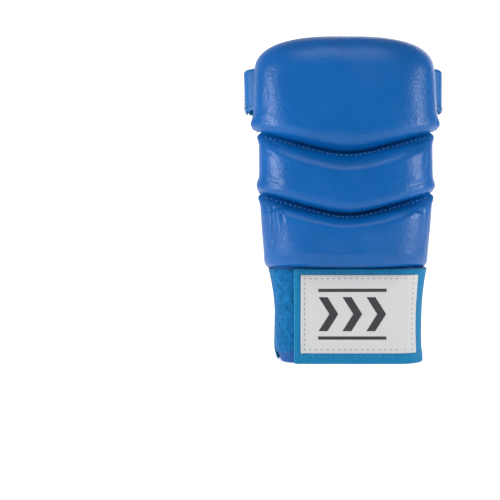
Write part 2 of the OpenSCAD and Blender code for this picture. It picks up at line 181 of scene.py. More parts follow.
# %% A sheet with a thickness
def closed_sheet(name, front, rear, material, uv=None, roundness=0.5):
    """A closed solid between two equal grids, with a rounded rim."""
    front, rear = np.asarray(front, float), np.asarray(rear, float)
    rows, cols = front.shape[:2]
    ring = border(rows, cols)
    middle = []
    for j, i in ring:
        inner = (min(max(j, 1), rows - 2), min(max(i, 1), cols - 2))
        edge = (front[j, i] + rear[j, i]) / 2
        outward = edge - (front[inner] + rear[inner]) / 2
        thickness = np.linalg.norm(front[j, i] - rear[j, i])
        middle.append(edge + outward / np.linalg.norm(outward) * thickness * roundness)
    size, count = rows * cols, len(ring)
    points = np.concatenate([front.reshape(-1, 3), rear.reshape(-1, 3), middle])
    faces = grid_faces(0, rows, cols, True) + grid_faces(size, rows, cols, False)
    flat = [j * cols + i for j, i in ring]
    for k in range(count):
        m = (k + 1) % count
        faces.append([flat[k], flat[m], 2 * size + m, 2 * size + k])
        faces.append([2 * size + k, 2 * size + m, size + flat[m], size + flat[k]])
    if uv is not None:
        flat_uv = np.asarray(uv, float).reshape(-1, 2)
        uv = np.concatenate([flat_uv, flat_uv, flat_uv[flat]])
    return new_piece(name, points, faces, material, uv)


# %% [markdown]
# ## Stitches
# A stitch is a short thread whose ends dip into the leather. It could be a bent curve with a
# bevel, but a few hundred of those are slow. Six rings of six points each make a thread that is
# thick in its middle, and a whole row becomes one mesh.

# %% Make a row of stitches, and join rows
def stitch_row(name, centres, along, outward, material, length=2.4, radius=0.36):
    """One mesh of short threads, each along its seam with both ends pulled into the leather."""
    points, faces = [], []
    shares = np.array([-0.5, -0.38, -0.15, 0.15, 0.38, 0.5])
    sides = 6
    for centre, direction, up in zip(centres, along, outward):
        direction = np.asarray(direction, float) / np.linalg.norm(direction)
        up = np.asarray(up, float) - direction * np.dot(up, direction)
        up /= np.linalg.norm(up)
        across = np.cross(direction, up)
        first = len(points)
        for s in shares:
            thick = radius * math.sqrt(max(0.05, 1 - (2 * s) ** 4))
            middle = centre + direction * s * length + up * radius * (0.5 - 5 * s * s)
            for k in range(sides):
                turn = 2 * math.pi * k / sides
                points.append(middle + thick * (across * math.cos(turn) + up * math.sin(turn)))
        for j in range(len(shares) - 1):
            for k in range(sides):
                m = (k + 1) % sides
                a, b = first + j * sides, first + (j + 1) * sides
                faces.append([a + k, a + m, b + m, b + k])
        faces.append([first + k for k in range(sides)][::-1])
        faces.append([first + (len(shares) - 1) * sides + k for k in range(sides)])
    return new_piece(name, points, faces, material)


def joined(name, *pieces):
    """Several pieces of one finish as one object."""
    bpy.ops.object.select_all(action="DESELECT")
    for piece in pieces:
        piece.select_set(True)
    bpy.context.view_layer.objects.active = pieces[0]
    bpy.ops.object.join()
    pieces[0].name = name
    return pieces[0]


# %% [markdown]
# ## Colours
# Screen colours are stored bent, to suit the eye, and a renderer wants them straight. `ink` takes
# an everyday 0 to 255 colour and straightens it.

# %% Colour helper
def ink(red, green, blue):
    def straight(level):
        level /= 255
        return level / 12.92 if level <= 0.04045 else ((level + 0.055) / 1.055) ** 2.4

    return (straight(red), straight(green), straight(blue), 1.0)


# %% [markdown]
# ## Materials: one small node tree for each finish
# A finish is colour, gloss and relief. The helpers below each add one of those to a Principled
# shader. Relief at real scale does most of the work: leather has a grain of about a millimetre,
# elastic has ribs of the same size, and velour has no gloss at all but a soft sheen.

# %% Node helpers
class Finish:
    """A material being put together around one Principled shader."""

    def __init__(self, name, roughness, sheen=0.0, specular=0.5):
        self.material = bpy.data.materials.new(name)
        self.material.use_nodes = True
        self.nodes = self.material.node_tree.nodes
        self.links = self.material.node_tree.links
        self.shader = self.nodes["Principled BSDF"]
        self.set("Roughness", roughness)
        self.set("Sheen Weight", sheen)
        self.set("Specular IOR Level", specular)

    def set(self, socket, value):
        self.shader.inputs[socket].default_value = value

    def add(self, kind, **values):
        node = self.nodes.new(kind)
        for key, value in values.items():
            if key in node.inputs:
                node.inputs[key].default_value = value
            else:
                setattr(node, key, value)
        return node

    def place(self, woven=False):
        """Coordinates in metres: along and across a woven strip, or plain space."""
        if woven:
            return self.add("ShaderNodeUVMap", uv_map="weave").outputs["UV"]
        return self.add("ShaderNodeTexCoord").outputs["Object"]

    def noise(self, where, scale, detail=3.0, roughness=0.55):
        node = self.add("ShaderNodeTexNoise", Scale=scale, Detail=detail, Roughness=roughness)
        self.links.new(where, node.inputs["Vector"])
        return node.outputs["Fac"]

    def cells(self, where, scale):
        node = self.add("ShaderNodeTexVoronoi", Scale=scale)
        self.links.new(where, node.inputs["Vector"])
        return node.outputs["Distance"]

    def ribs(self, where, scale, direction="X", distortion=0.0):
        node = self.add("ShaderNodeTexWave", bands_direction=direction, Scale=scale)
        node.inputs["Distortion"].default_value = distortion
        node.inputs["Detail"].default_value = 1.0
        self.links.new(where, node.inputs["Vector"])
        return node.outputs["Fac"]

    def math(self, operation, a, b):
        node = self.add("ShaderNodeMath", operation=operation)
        for socket, value in zip(node.inputs, (a, b)):
            if isinstance(value, (int, float)):
                socket.default_value = value
            else:
                self.links.new(value, socket)
        return node.outputs[0]

    def ramp(self, driver, stops):
        node = self.add("ShaderNodeValToRGB")
        elements = node.color_ramp.elements
        while len(elements) < len(stops):
            elements.new(0.5)
        for element, (position, colour) in zip(elements, stops):
            element.position = position
            element.color = colour
        self.links.new(driver, node.inputs["Fac"])
        return node.outputs["Color"]

    def spread(self, driver, low, high, socket):
        """Drives a number of the shader between low and high."""
        node = self.add("ShaderNodeMapRange")
        node.inputs["To Min"].default_value = low
        node.inputs["To Max"].default_value = high
        self.links.new(driver, node.inputs["Value"])
        self.links.new(node.outputs[0], self.shader.inputs[socket])

    def colour(self, source):
        self.links.new(source, self.shader.inputs["Base Color"])

    def relief(self, *layers):
        """Each layer is a height driver, its depth in millimetres and its strength."""
        last = None
        for driver, depth, strength in layers:
            bump = self.add("ShaderNodeBump")
            bump.inputs["Strength"].default_value = strength
            bump.inputs["Distance"].default_value = depth * MM
            self.links.new(driver, bump.inputs["Height"])
            if last is not None:
                self.links.new(last, bump.inputs["Normal"])
            last = bump.outputs["Normal"]
        self.links.new(last, self.shader.inputs["Normal"])


def shades(colour, spread):
    """Darker and lighter partners of a colour."""
    dark = tuple(c * (1 - spread) for c in colour[:3]) + (1.0,)
    light = tuple(min(1, c * (1 + spread) + 0.02 * spread) for c in colour[:3]) + (1.0,)
    return dark, light


# %% [markdown]
# ## Leather
# Smooth cowhide with a fine pebble. Cells from a Voronoi texture make the pebble, a slow noise
# makes the hide's uneven colour, and the same slow noise makes some places glossier than others,
# because a hide never takes its finish evenly.

# %% Leather finishes
def leather(name, colour, roughness=0.29, grain=0.1, spread=0.1):
    hide = Finish(name, roughness, specular=0.4)
    hide.set("IOR", 1.4)
    where = hide.place()
    slow = hide.noise(where, 18, 4)
    dark, light = shades(colour, spread)
    hide.colour(hide.ramp(slow, [(0.3, dark), (0.72, light)]))
    hide.spread(hide.noise(where, 55, 4), roughness - 0.07, roughness + 0.09, "Roughness")
    hide.relief(
        (hide.noise(where, 160, 5), 0.5, 0.34),
        (hide.noise(where, 520, 2, 0.5), 4.0 * grain, 0.62),
        (hide.cells(where, 1150), grain, 0.35),
    )
    return hide.material


PAD_BLUE = ink(0, 84, 154)
pad_leather = leather("pad_leather", PAD_BLUE)
tab_leather = leather("tab_leather", ink(6, 94, 160), roughness=0.42)
facing_leather = leather("facing_leather", ink(0, 78, 148), roughness=0.5)
cuff_leather = leather("cuff_leather", ink(6, 80, 150), roughness=0.55, grain=0.16)

# %% [markdown]
# ## Suede
# Suede is leather worn with its fibrous side out, so it has no gloss. Two noises of different size
# mottle it, and a strong fine relief breaks up the light.

# %% Suede finish
def suede(name, colour):
    nap = Finish(name, 0.95, sheen=0.25, specular=0.2)
    nap.set("Sheen Roughness", 0.6)
    where = nap.place()
    blend = nap.math("ADD", nap.noise(where, 90, 6, 0.7), nap.noise(where, 1400, 3, 0.7))
    half = nap.math("MULTIPLY", blend, 0.5)
    dark, light = shades(colour, 0.24)
    nap.colour(nap.ramp(half, [(0.36, dark), (0.62, light)]))
    nap.relief((nap.noise(where, 420, 5, 0.7), 0.6, 0.5), (nap.noise(where, 2600, 2), 0.25, 0.6))
    return nap.material


grey_suede = suede("grey_suede", ink(172, 180, 183))
pale_edge = suede("pale_edge", ink(196, 208, 218))

# %% [markdown]
# ## Elastic, velour and label
# Woven pieces carry a map of millimetres along and across the strip, so that their ribs follow
# every bend. Elastic shows ribs across its length crossed by fine warp lines. Velour is a loop
# pile that looks mottled because the loops lean in patches.

# %% Elastic finish
def elastic(name, colour):
    band = Finish(name, 0.82, sheen=0.08, specular=0.2)
    band.set("Sheen Roughness", 0.5)
    where = band.place(woven=True)
    across = band.ribs(where, 360, "X", 0.6)
    warp = band.ribs(where, 520, "Y", 0.4)
    cloth = band.math("ADD", band.math("MULTIPLY", across, 0.65), band.math("MULTIPLY", warp, 0.35))
    patch = band.noise(where, 320, 4, 0.7)
    mixed = band.math("ADD", band.math("MULTIPLY", cloth, 0.45), band.math("MULTIPLY", patch, 0.55))
    dark, light = shades(colour, 0.3)
    band.colour(band.ramp(mixed, [(0.25, dark), (0.75, light)]))
    band.relief((patch, 0.35, 0.4), (cloth, 0.25, 0.8))
    return band.material


# %% Velour finish
def velour(name, colour):
    pile = Finish(name, 0.98, sheen=0.12, specular=0.1)
    pile.set("Sheen Roughness", 0.45)
    where = pile.place()
    loops = pile.noise(where, 620, 3, 0.75)
    patches = pile.noise(where, 240, 5, 0.7)
    mixed = pile.math("ADD", pile.math("MULTIPLY", loops, 0.5), pile.math("MULTIPLY", patches, 0.5))
    dark, light = shades(colour, 0.55)
    pile.colour(pile.ramp(mixed, [(0.34, dark), (0.66, light)]))
    pile.relief((patches, 0.8, 0.5), (loops, 0.6, 0.9))
    return pile.material


# %% Label cloth and thread
def woven_label(name, colour):
    cloth = Finish(name, 0.7, sheen=0.1)
    where = cloth.place(woven=True)
    weft = cloth.ribs(where, 520, "Y", 0.3)
    warp = cloth.ribs(where, 700, "X", 0.3)
    satin = cloth.math("ADD", cloth.math("MULTIPLY", weft, 0.7), cloth.math("MULTIPLY", warp, 0.3))
    dark, light = shades(colour, 0.05)
    cloth.colour(cloth.ramp(satin, [(0.2, dark), (0.8, light)]))
    cloth.relief((cloth.noise(where, 45, 3), 0.8, 0.15), (satin, 0.12, 0.7))
    return cloth.material


def thread(name, colour):
    strand = Finish(name, 0.6, sheen=0.2)
    where = strand.place()
    dark, light = shades(colour, 0.15)
    strand.colour(strand.ramp(strand.noise(where, 900), [(0.35, dark), (0.65, light)]))
    strand.relief((strand.ribs(where, 900, "DIAGONAL"), 0.1, 0.6))
    return strand.material


cyan_elastic = elastic("cyan_elastic", ink(0, 114, 160))
loop_velour = velour("loop_velour", ink(0, 96, 152))
white_label = woven_label("white_label", ink(192, 192, 192))
dark_weave = woven_label("dark_weave", ink(38, 38, 42))
seam_thread = thread("seam_thread", ink(70, 128, 190))
blue_thread = thread("blue_thread", ink(28, 74, 138))
tab_thread = thread("tab_thread", ink(12, 70, 140))
dark_thread = thread("dark_thread", ink(92, 92, 104))
elastic_thread = thread("elastic_thread", ink(10, 118, 168))
print("finishes:", len(bpy.data.materials))

# %% [markdown]
# ## The pads
# Each pad is leather pulled over a block of foam and stitched down round its edge. That gives it
# three shapes at once: a flat crown, a full rounded shoulder at the sides, and a different profile
# at each end. At its foot a pad rolls out over the seam and hides it in shadow. At its head it
# slopes in gently, which leaves room for the roll of the pad above.
#
# A subdivided box could be pushed into that shape by hand. Here the shape is a formula over two
# numbers, `u` across and `v` up, because the same formula then places the stitches, the creases
# and the foam inside.

# %% The shape of a pad
RIM_DEPTH = 3.0
PAD_THICK = 20.0
PAD_TALL = 40    # roughly, from seam to seam
PUCKER_STEP = 5.0    # one small pucker for each stitch


def pad(half, foot, head, taper=0.0, pinch=(2.4, 2.4), roll=(1.9, 1.5), slope=0.36, tuck=2.4):
    """roll is how far the sides bulge beside the pad's foot and beside its head."""
    return dict(half=half, foot=foot, head=head, taper=taper, pinch=pinch, roll=roll,
                slope=slope, tuck=tuck, creases=[])


hand = pad(
    HAND_HALF,
    lambda x: PAD_FOOT - 1.3 + 0 * x,
    lambda x: seam_z(KNUCKLE_SEAM, x),
    taper=4.2, pinch=(2.2, 2.4), roll=(0.3, 1.3), slope=0.3, tuck=1.6,
)
knuckle = pad(KNUCKLE_HALF, hand["head"], lambda x: seam_z(FINGER_SEAM, x))
finger = pad(
    FINGER_HALF, knuckle["head"], finger_top,
    taper=-1.2, pinch=(3.4, 0.0), roll=(1.8, 0.0), slope=0.3, tuck=2.6,
)


# %% Creases and slow hills
def crease_depth(creases, x, z):
    """How far the leather dips at x, z. A crease is a line of points, its depth and its width."""
    dip = np.zeros_like(x)
    for line, deep, wide in creases:
        nearest, share = np.full_like(x, 1e9), np.zeros_like(x)
        total = len(line) - 1
        for k in range(total):
            (ax, az), (bx, bz) = line[k], line[k + 1]
            run = (bx - ax) ** 2 + (bz - az) ** 2
            t = np.clip(((x - ax) * (bx - ax) + (z - az) * (bz - az)) / run, 0, 1)
            away = np.hypot(x - ax - t * (bx - ax), z - az - t * (bz - az))
            share = np.where(away < nearest, (k + t) / total, share)
            nearest = np.minimum(nearest, away)
        fade = np.sin(math.pi * np.clip(share, 0.04, 0.96)) ** 0.6
        lip = np.exp(-((nearest - 2.2 * wide) / wide) ** 2)
        dip += deep * fade * (np.exp(-((nearest / wide) ** 2)) - 0.35 * lip)
    return dip


def undulation(x, z, phase):
    """Slow hills in the leather where the foam is not quite even."""
    waves = np.sin(0.071 * x + 0.043 * z + phase) + np.sin(0.118 * z - 0.052 * x + 2.1 * phase)
    return 0.28 * waves + 0.16 * np.sin(0.19 * x + 0.13 * z + 3.3 * phase)


# %% Plan and surface of a pad
def pad_plan(shape, u, v, inset=0.0):
    """Where u, v falls on the plan of a pad, with its share across and its share of the height."""
    side = np.sin(u * math.pi / 2)
    up = (1 - np.cos(math.pi * v)) / 2
    edge_x = np.sign(side) * shape["half"]
    tall = shape["head"](edge_x) - shape["foot"](edge_x)
    above, below = tall * up, tall * (1 - up)
    width = shape["half"] - shape["taper"] * (1 - up) ** 1.4
    width = width - shape["pinch"][0] * np.exp(-((above / 2.2) ** 2))
    width = width - shape["pinch"][1] * np.exp(-((below / 2.0) ** 2))
    width = width + shape["roll"][0] * np.exp(-(((above - 5.0) / 4.4) ** 2))
    width = width + shape["roll"][1] * np.exp(-(((below - 4.0) / 3.8) ** 2))
    x = side * width
    foot = shape["foot"](x) + inset
    head = shape["head"](side * shape["half"]) - inset
    return x - side * inset, foot + (head - foot) * up, side, up


def pad_surface(shape, u, v, sink=0.0):
    """Points of the leather over a pad. sink moves the whole surface inwards."""
    x, z, side, up = pad_plan(shape, u, v, sink)
    across = np.sqrt(1 - np.abs(side) ** 4)
    rise = 1 - (1 - np.clip(up / 0.26, 0, 1)) ** 2.4
    fall = 1 - (1 - np.clip((1 - up) / shape["slope"], 0, 1)) ** 2
    if shape is finger:
        fall = np.sqrt(1 - (1 - np.clip((1 - up) / shape["slope"], 0, 1)) ** 2.4)
    body = across * np.sqrt(np.clip(rise, 0, 1)) * fall
    depth = RIM_DEPTH + (PAD_THICK - RIM_DEPTH) * body
    z = z - shape["tuck"] * np.sin(math.pi * np.clip(up / 0.3, 0, 1)) * np.sqrt(across)
    y = sewn_y(x, z) - depth + sink
    soft = np.clip(body * 1.6, 0, 1)
    y = y - undulation(x, z, shape["half"]) * soft + crease_depth(shape["creases"], x, z) * soft
    near_seam = sum(np.exp(-((share * PAD_TALL / 5.0) ** 2)) for share in (up, 1 - up))
    pucker = 0.16 * np.sin(2 * math.pi * x / PUCKER_STEP) * near_seam * across
    y = y - pucker * (1 if shape is not finger else np.where(up > 0.5, 0, 1))
    return np.stack([x, y, z], -1)


# %% [markdown]
# ## Creases
# Stretched leather folds where it is asked to turn in two directions at once: beside the ends of
# the quilted seams, and down the sides of the hand pad where the glove narrows to the wrist.
# A crease is a short line with a depth, and `crease_depth` presses it in with a small raised lip
# on each side, as a real fold has.

# %% Place the creases
side = HAND_HALF
hand["creases"] = [
    ([(-side + 9, 121), (-side + 10.5, 100), (-side + 9.5, 84)], 1.3, 1.5),
    ([(-side + 15, 117), (-side + 17, 104)], 0.5, 1.3),
    ([(side - 8, 119), (side - 9, 98), (side - 11, 80)], 0.9, 1.4),
    ([(-side + 3, 112), (-side + 20, 116)], 0.6, 1.2),
    ([(side - 4, 110), (side - 16, 114)], 0.5, 1.2),
    ([(-34, 79), (-8, 76), (22, 79)], 0.45, 2.0),
]
side = KNUCKLE_HALF
knuckle["creases"] = [
    ([(-side + 4, 165), (-side + 15, 160)], 0.9, 1.2),
    ([(-side + 3, 158), (-side + 11, 152)], 0.6, 1.1),
    ([(side - 4, 166), (side - 16, 161)], 0.8, 1.2),
    ([(-side + 5, 137), (-side + 16, 133)], 0.6, 1.3),
    ([(side - 3, 136), (side - 20, 130)], 0.7, 1.6),
    ([(side - 6, 158), (side - 8, 143)], 0.4, 1.3),
]
side = FINGER_HALF
finger["creases"] = [
    ([(-side + 3, 182), (-side + 14, 177)], 0.6, 1.3),
    ([(side - 3, 183), (side - 15, 177)], 0.6, 1.3),
    ([(-side + 8, 205), (-side + 10, 190)], 0.3, 1.6),
]

# %% [markdown]
# ## Closing the pads
# The leather turns under at the edge and is sewn to the sheet behind it. Three more rows of points
# roll round that edge, and a plain rear face closes the form. The foam is the same shape a little
# smaller, so it fills its cover like real padding.

# %% Close one pad
def pad_piece(name, shape, material, columns=120, rows=84, sink=0.0):
    u, v = np.meshgrid(np.linspace(-1, 1, columns), np.linspace(0, 1, rows))
    front = pad_surface(shape, u, v, sink)
    ring = border(rows, columns)
    edge = np.array([front[j, i] for j, i in ring])
    inner = np.array([
        front[min(max(j, 2), rows - 3), min(max(i, 2), columns - 3)] for j, i in ring])
    inward = inner - edge
    inward[:, 1] = 0
    inward /= np.linalg.norm(inward, axis=1)[:, None]
    points, size = [front.reshape(-1, 3)], rows * columns
    base_y = sewn_y(edge[:, 0], edge[:, 2]) - 0.02
    for turn in (30, 60, 90):
        row = edge + inward * 2.2 * (1 - math.cos(math.radians(turn)))
        row[:, 1] = edge[:, 1] + (base_y - edge[:, 1]) * math.sin(math.radians(turn))
        points.append(row)
    x, z, _, _ = pad_plan(shape, u, v, 2.6 + sink)
    rear = np.stack([x, sewn_y(x, z) - 0.02, z], -1)
    points.append(rear.reshape(-1, 3))
    faces = grid_faces(0, rows, columns, True)
    count = len(ring)
    flat = [j * columns + i for j, i in ring]
    loops = [flat] + [[size + k * count + i for i in range(count)] for k in range(3)]
    rear_first = size + 3 * count
    loops.append([rear_first + i for i in flat])
    for upper, lower in zip(loops, loops[1:]):
        for k in range(count):
            m = (k + 1) % count
            faces.append([upper[k], upper[m], lower[m], lower[k]])
    faces += grid_faces(rear_first, rows, columns, False)
    return new_piece(name, np.concatenate(points), faces, material)


# %% Foam finish, and every pad made
def foam_finish():
    block = Finish("closed_cell_foam", 0.95, specular=0.2)
    where = block.place()
    dark, light = shades(ink(52, 52, 56), 0.2)
    block.colour(block.ramp(block.noise(where, 300), [(0.35, dark), (0.65, light)]))
    block.relief((block.cells(where, 1600), 0.3, 0.6))
    return block.material


grey_foam = foam_finish()
PADS = {"hand": hand, "knuckle": knuckle, "finger": finger}
covers, foams = {}, {}
for name, shape in PADS.items():
    covers[name] = pad_piece(name + "_pad_leather", shape, pad_leather)
    foams[name] = pad_piece(name + "_pad_foam_block", shape, grey_foam, 40, 30, sink=1.6)
    print(name, "pad:", len(covers[name].data.vertices), "points")

# %% [markdown]
# ## Pads and their bodies
# The glove folds at its two quilted seams. The knuckle pad rides on its own body. The hand and
# finger pads stay fixed where they are made, with no body and no bend.


def on_hand(piece):
    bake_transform(piece)


def on_knuckle(piece):
    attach(piece, "knuckle_section")


def on_finger(piece):
    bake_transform(piece)


CARRY = {"hand": on_hand, "knuckle": on_knuckle, "finger": on_finger}
for name in PADS:
    CARRY[name](covers[name])
    CARRY[name](foams[name])
    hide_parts(name + "_pad_cover")
    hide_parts(name + "_pad_foam")

# %% [markdown]
# ## The rows of stitches along the seams
# A pale thread shows just below each quilted seam. The row is found on the pad below: its height is
# a few millimetres under the seam, and the pad's own formula gives the depth there, so each stitch
# lies in the leather.

# %% Sew along the quilted seams
def surface_at(shape, x, z):
    """The leather's point, and its outward direction, nearest to x, z near the head of a pad."""
    u = np.full(400, 2 / math.pi * math.asin(max(-1, min(1, x / shape["half"]))))
    v = np.linspace(0.5, 1, 400)
    points = pad_surface(shape, u, v)
    k = int(np.clip(np.argmin(np.abs(points[:, 2] - z)), 1, 398))
    up = points[k + 1] - points[k - 1]
    side_u = u[:1] + 0.01
    side_point = pad_surface(shape, side_u, v[k:k + 1])[0]
    outward = np.cross(side_point - points[k], up)
    return points[k], outward * (1 if outward[1] < 0 else -1)


def seam_row(name, shape, drop=2.6, step=3.4):
    xs = np.arange(-shape["half"] + 6, shape["half"] - 5.9, step)
    placed = [surface_at(shape, x, float(shape["head"](x)) - drop) for x in xs]
    centres = [p for p, _ in placed]
    along = [centres[min(k + 1, len(xs) - 1)] - centres[max(k - 1, 0)] for k in range(len(xs))]
    return stitch_row(name, centres, along, [n for _, n in placed], seam_thread, 2.2, 0.3)


back_rows = {
    "hand": seam_row("knuckle_seam_back_row", hand),
    "knuckle": seam_row("finger_seam_back_row", knuckle),
}
print("back rows sewn")
for name, row in back_rows.items():
    CARRY[name](row)

# %% [markdown]
# ## The cuff: one path, many layers
# The wrist is closed by layers of webbing wrapped round each other: a leather panel, a strip of
# loop tape on it, hook tape behind the flap, the wide elastic band, and a label on top. They all
# follow one rounded rectangle, each a little further out. `cuff_point` walks round that path by
# length, as if along a tape measure, so a strip is only a start, an end and a distance outwards.
#
# Elastic pulls in at the middle of its width, where nothing stiff holds it, so the path is drawn
# in a little at half height and flares at the top, where the hand pushes it open.

# %% The path round the wrist
WRIST = (50.0, 20.0, 15.0)
FLAT = WRIST[0] - WRIST[2]
CORNER = WRIST[2] * math.pi / 2
SIDE = WRIST[1] - WRIST[2]
THUMB_MIDDLE = FLAT + CORNER + SIDE
ROUND = 4 * THUMB_MIDDLE
HINGE_Y = -4.0
HINGE = THUMB_MIDDLE + HINGE_Y


def cuff_plan(u):
    """The point x, y at length u from the middle of the back, and the direction outwards there."""
    u = (u + ROUND / 2) % ROUND - ROUND / 2
    sign, u = (1 if u >= 0 else -1), abs(u)
    if u > 2 * THUMB_MIDDLE - FLAT:
        return (sign * (2 * THUMB_MIDDLE - u), WRIST[1]), (0, 1)
    if u <= FLAT:
        return (sign * u, -WRIST[1]), (0, -1)
    if u <= FLAT + CORNER:
        turn = (u - FLAT) / WRIST[2]
        out = (math.sin(turn), -math.cos(turn))
        place = (sign * (FLAT + WRIST[2] * out[0]), -SIDE + WRIST[2] * out[1])
        return place, (sign * out[0], out[1])
    if u <= FLAT + CORNER + 2 * SIDE:
        return (sign * WRIST[0], -SIDE + u - FLAT - CORNER), (sign, 0)
    turn = (u - FLAT - CORNER - 2 * SIDE) / WRIST[2]
    out = (math.cos(turn), math.sin(turn))
    place = (sign * (FLAT + WRIST[2] * out[0]), SIDE + WRIST[2] * out[1])
    return place, (sign * out[0], out[1])


CUFF_SET = 1.2  # the whole cuff sits a little towards the thumb


# %% How the cuff flares
def flare(z, towards_thumb):
    """How far a side of the cuff stands out at height z: in at the middle, out at the top."""
    high, low = max(0, (z - 35) / 35), max(0, (35 - z) / 35)
    if towards_thumb:
        return -0.9 + 3.6 * high**2 + 0.9 * low**2
    return 0.2 + 5.0 * high ** 1.6 - 2.0 * math.exp(-((z / 5) ** 2))


def cuff_point(u, offset, z):
    (x, y), (nx, ny) = cuff_plan(u)
    side_out = flare(z, nx > 0) * abs(nx) ** 1.5
    flat_out = (0.5 * max(0, (z - 50) / 20) ** 2 - math.exp(-(((z - 32) / 20) ** 2))) * abs(ny)
    out = offset + side_out + flat_out
    return np.array([x + nx * out + CUFF_SET, y + ny * out, z])


# %% A strip on the path
def cuff_strip(name, start, end, low, high, inner, thick, material, lift, step=2.0):
    """A strip of webbing on the path. lift(u, z) moves it outwards a little."""
    us = np.linspace(start, end, max(4, int(abs(end - start) / step)))
    zs = np.linspace(low, high, max(6, int((high - low) / 2.5)))
    front = np.zeros((len(zs), len(us), 3))
    rear, uv = front.copy(), np.zeros((len(zs), len(us), 2))
    for j, z in enumerate(zs):
        for i, u in enumerate(us):
            out = lift(u, z)
            front[j, i] = cuff_point(u, inner + thick + out, z)
            rear[j, i] = cuff_point(u, inner + out, z)
            uv[j, i] = (u, z)
    return closed_sheet(name, front, rear, material, uv)


print("round the wrist:", round(ROUND, 1), "mm")

# %% [markdown]
# ## The fixed layers
# The panel is the end of the hand's leather. The loop tape is sewn to it, and only its left end
# shows. The tape's edge wanders a little, because a pile tape is never cut dead straight.

# %% Panel, loop tape and their stitches
LITTLE_SIDE = -(THUMB_MIDDLE + 5)
panel = cuff_strip(
    "wrist_leather_panel", LITTLE_SIDE - 11, THUMB_MIDDLE + 6, 0.8, PAD_FOOT - 0.3, 0.0, 1.5,
    cuff_leather,
    lift=lambda u, z: 0.25 * math.sin(u * 0.13 + z * 0.1) - 0.3 * max(0, (6 - z) / 6),
)
tape = cuff_strip(
    "loop_tape_strip", LITTLE_SIDE, 36, 8, CUFF_H - 1, 1.8, 1.5, loop_velour, step=1.6,
    lift=lambda u, z: 0.16 * math.sin(u * 0.31 + 1) * math.sin(z * 0.27),
)


def cuff_row(name, places, offset, material, length=2.3, radius=0.32, lift=None):
    """Stitches at (u, z) places. Each points to the next one."""
    centres = [cuff_point(u, offset + (lift(u, z) if lift else 0), z) for u, z in places]
    last = len(centres) - 1
    along = [centres[min(k + 1, last)] - centres[max(k - 1, 0)] for k in range(last + 1)]
    outward = [(*cuff_plan(u)[1], 0) for u, _ in places]
    return stitch_row(name, centres, along, outward, material, length, radius)


def row_between(start, end, z, step=4.0):
    count = max(2, int(abs(end - start) / step))
    return [(u, z) for u in np.linspace(start, end, count)]


tape_row = cuff_row("loop_tape_stitches", row_between(-60, -40, 10.2), 3.3, blue_thread)
FIXED_LAYERS = ((panel, "wrist_panel", "cuff_leather"), (tape, "loop_tape", "loop_velour"))
for piece, node, slot in FIXED_LAYERS:
    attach(piece, "hand_section")
    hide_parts(node)
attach(tape_row, "hand_section")

# %% [markdown]
# ## The elastic band and its flap
# The band is one length of wide elastic. It is sewn to the panel on the little-finger side, passes
# round the palm side and the thumb side, and closes over the back as a flap. In motion the flap
# swings about the thumb side. Here the band is made as one piece with no cut, and it is not
# attached to any body.
#
# The free end is folded over and sewn flat, which makes it thicker and its edge rounder. The lower
# edge is turned up too. Both folds are small steps outwards in `band_lift`.

# %% Make the band
FLAP_END = -38.0
BAND_END = ROUND - THUMB_MIDDLE - 6.5
BAND_IN = 5.2
ELASTIC = 1.8


def step_up(distance, width, height):
    """A rounded step: height inside the fold, 0 well past its edge."""
    return height / (1 + math.exp((distance - width) * 3))


def band_lift(u, z):
    """Folds, small puckers beside the stitches, and the slack of the cloth."""
    fold = max(step_up(u - FLAP_END, 5.0, 0.5), step_up(z, 7.4, 0.35) if u < HINGE else 0)
    pucker = 0.13 * math.sin(u * 2 * math.pi / PUCKER_STEP) * math.exp(-(((z - 7.4) / 3) ** 2))
    slack = 0.3 * math.sin(u * 0.071 + 0.6) * math.sin(z * 0.075 + 0.9)
    edge = 0.22 * math.sin(u * 0.23) * (math.exp(-z / 3) + math.exp(-(CUFF_H - z) / 3))
    sewn_down = 3.3 / (1 + math.exp((BAND_END - 10 - u) / 2.5))
    return fold + pucker + slack + edge - sewn_down


band = cuff_strip("wide_elastic_band", FLAP_END, BAND_END, 0.9, CUFF_H - 0.6, BAND_IN, ELASTIC,
                  cyan_elastic, step=1.7, lift=band_lift)
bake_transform(band)
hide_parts("palm_band")
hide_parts("flap_elastic")

# %% Line the band, and put hook tape behind the flap
lining_start = HINGE + 4
lining_end = BAND_END - 17
band_inside = cuff_strip(
    "band_leather_lining", lining_start, lining_end, 1.2, CUFF_H - 1.2, 3.5, 1.3, cuff_leather,
    lift=lambda u, z: 0.7 * band_lift(u, z),
)
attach(band_inside, "hand_section")
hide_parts("band_lining")


def hook_finish():
    """Stiff moulded hooks: rows of small bright dots on a dull plastic."""
    hook = Finish("hook_plastic", 0.5, specular=0.5)
    where = hook.place(woven=True)
    rows = hook.math("MULTIPLY", hook.ribs(where, 420, "X"), hook.ribs(where, 330, "Y"))
    dark, light = shades(ink(8, 70, 128), 0.3)
    hook.colour(hook.ramp(rows, [(0.2, dark), (0.7, light)]))
    hook.relief((rows, 0.7, 0.9))
    return hook.material


hooks = cuff_strip("hook_tape_strip", FLAP_END + 1.2, 12, 8, CUFF_H - 1, 3.5, 1.4, hook_finish(),
                   lift=lambda u, z: 0)
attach(hooks, "closing_flap")
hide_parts("hook_tape")

# %% [markdown]
# ## The label
# A woven label is stiffer than the elastic, so it lies flat and its border sinks a little where
# the thread holds it. Its design is plain: three chevrons between two bars. The design is woven
# into the cloth of a real label. Here it is a thin raised layer cut from the same curved surface,
# which keeps its edges sharp from every side.

# %% Make the label
LABEL_LEFT, LABEL_RIGHT = FLAP_END + 3, FLAP_END + 84
LABEL_LOW, LABEL_HIGH = 8.3, 65.3
LABEL_IN = BAND_IN + ELASTIC


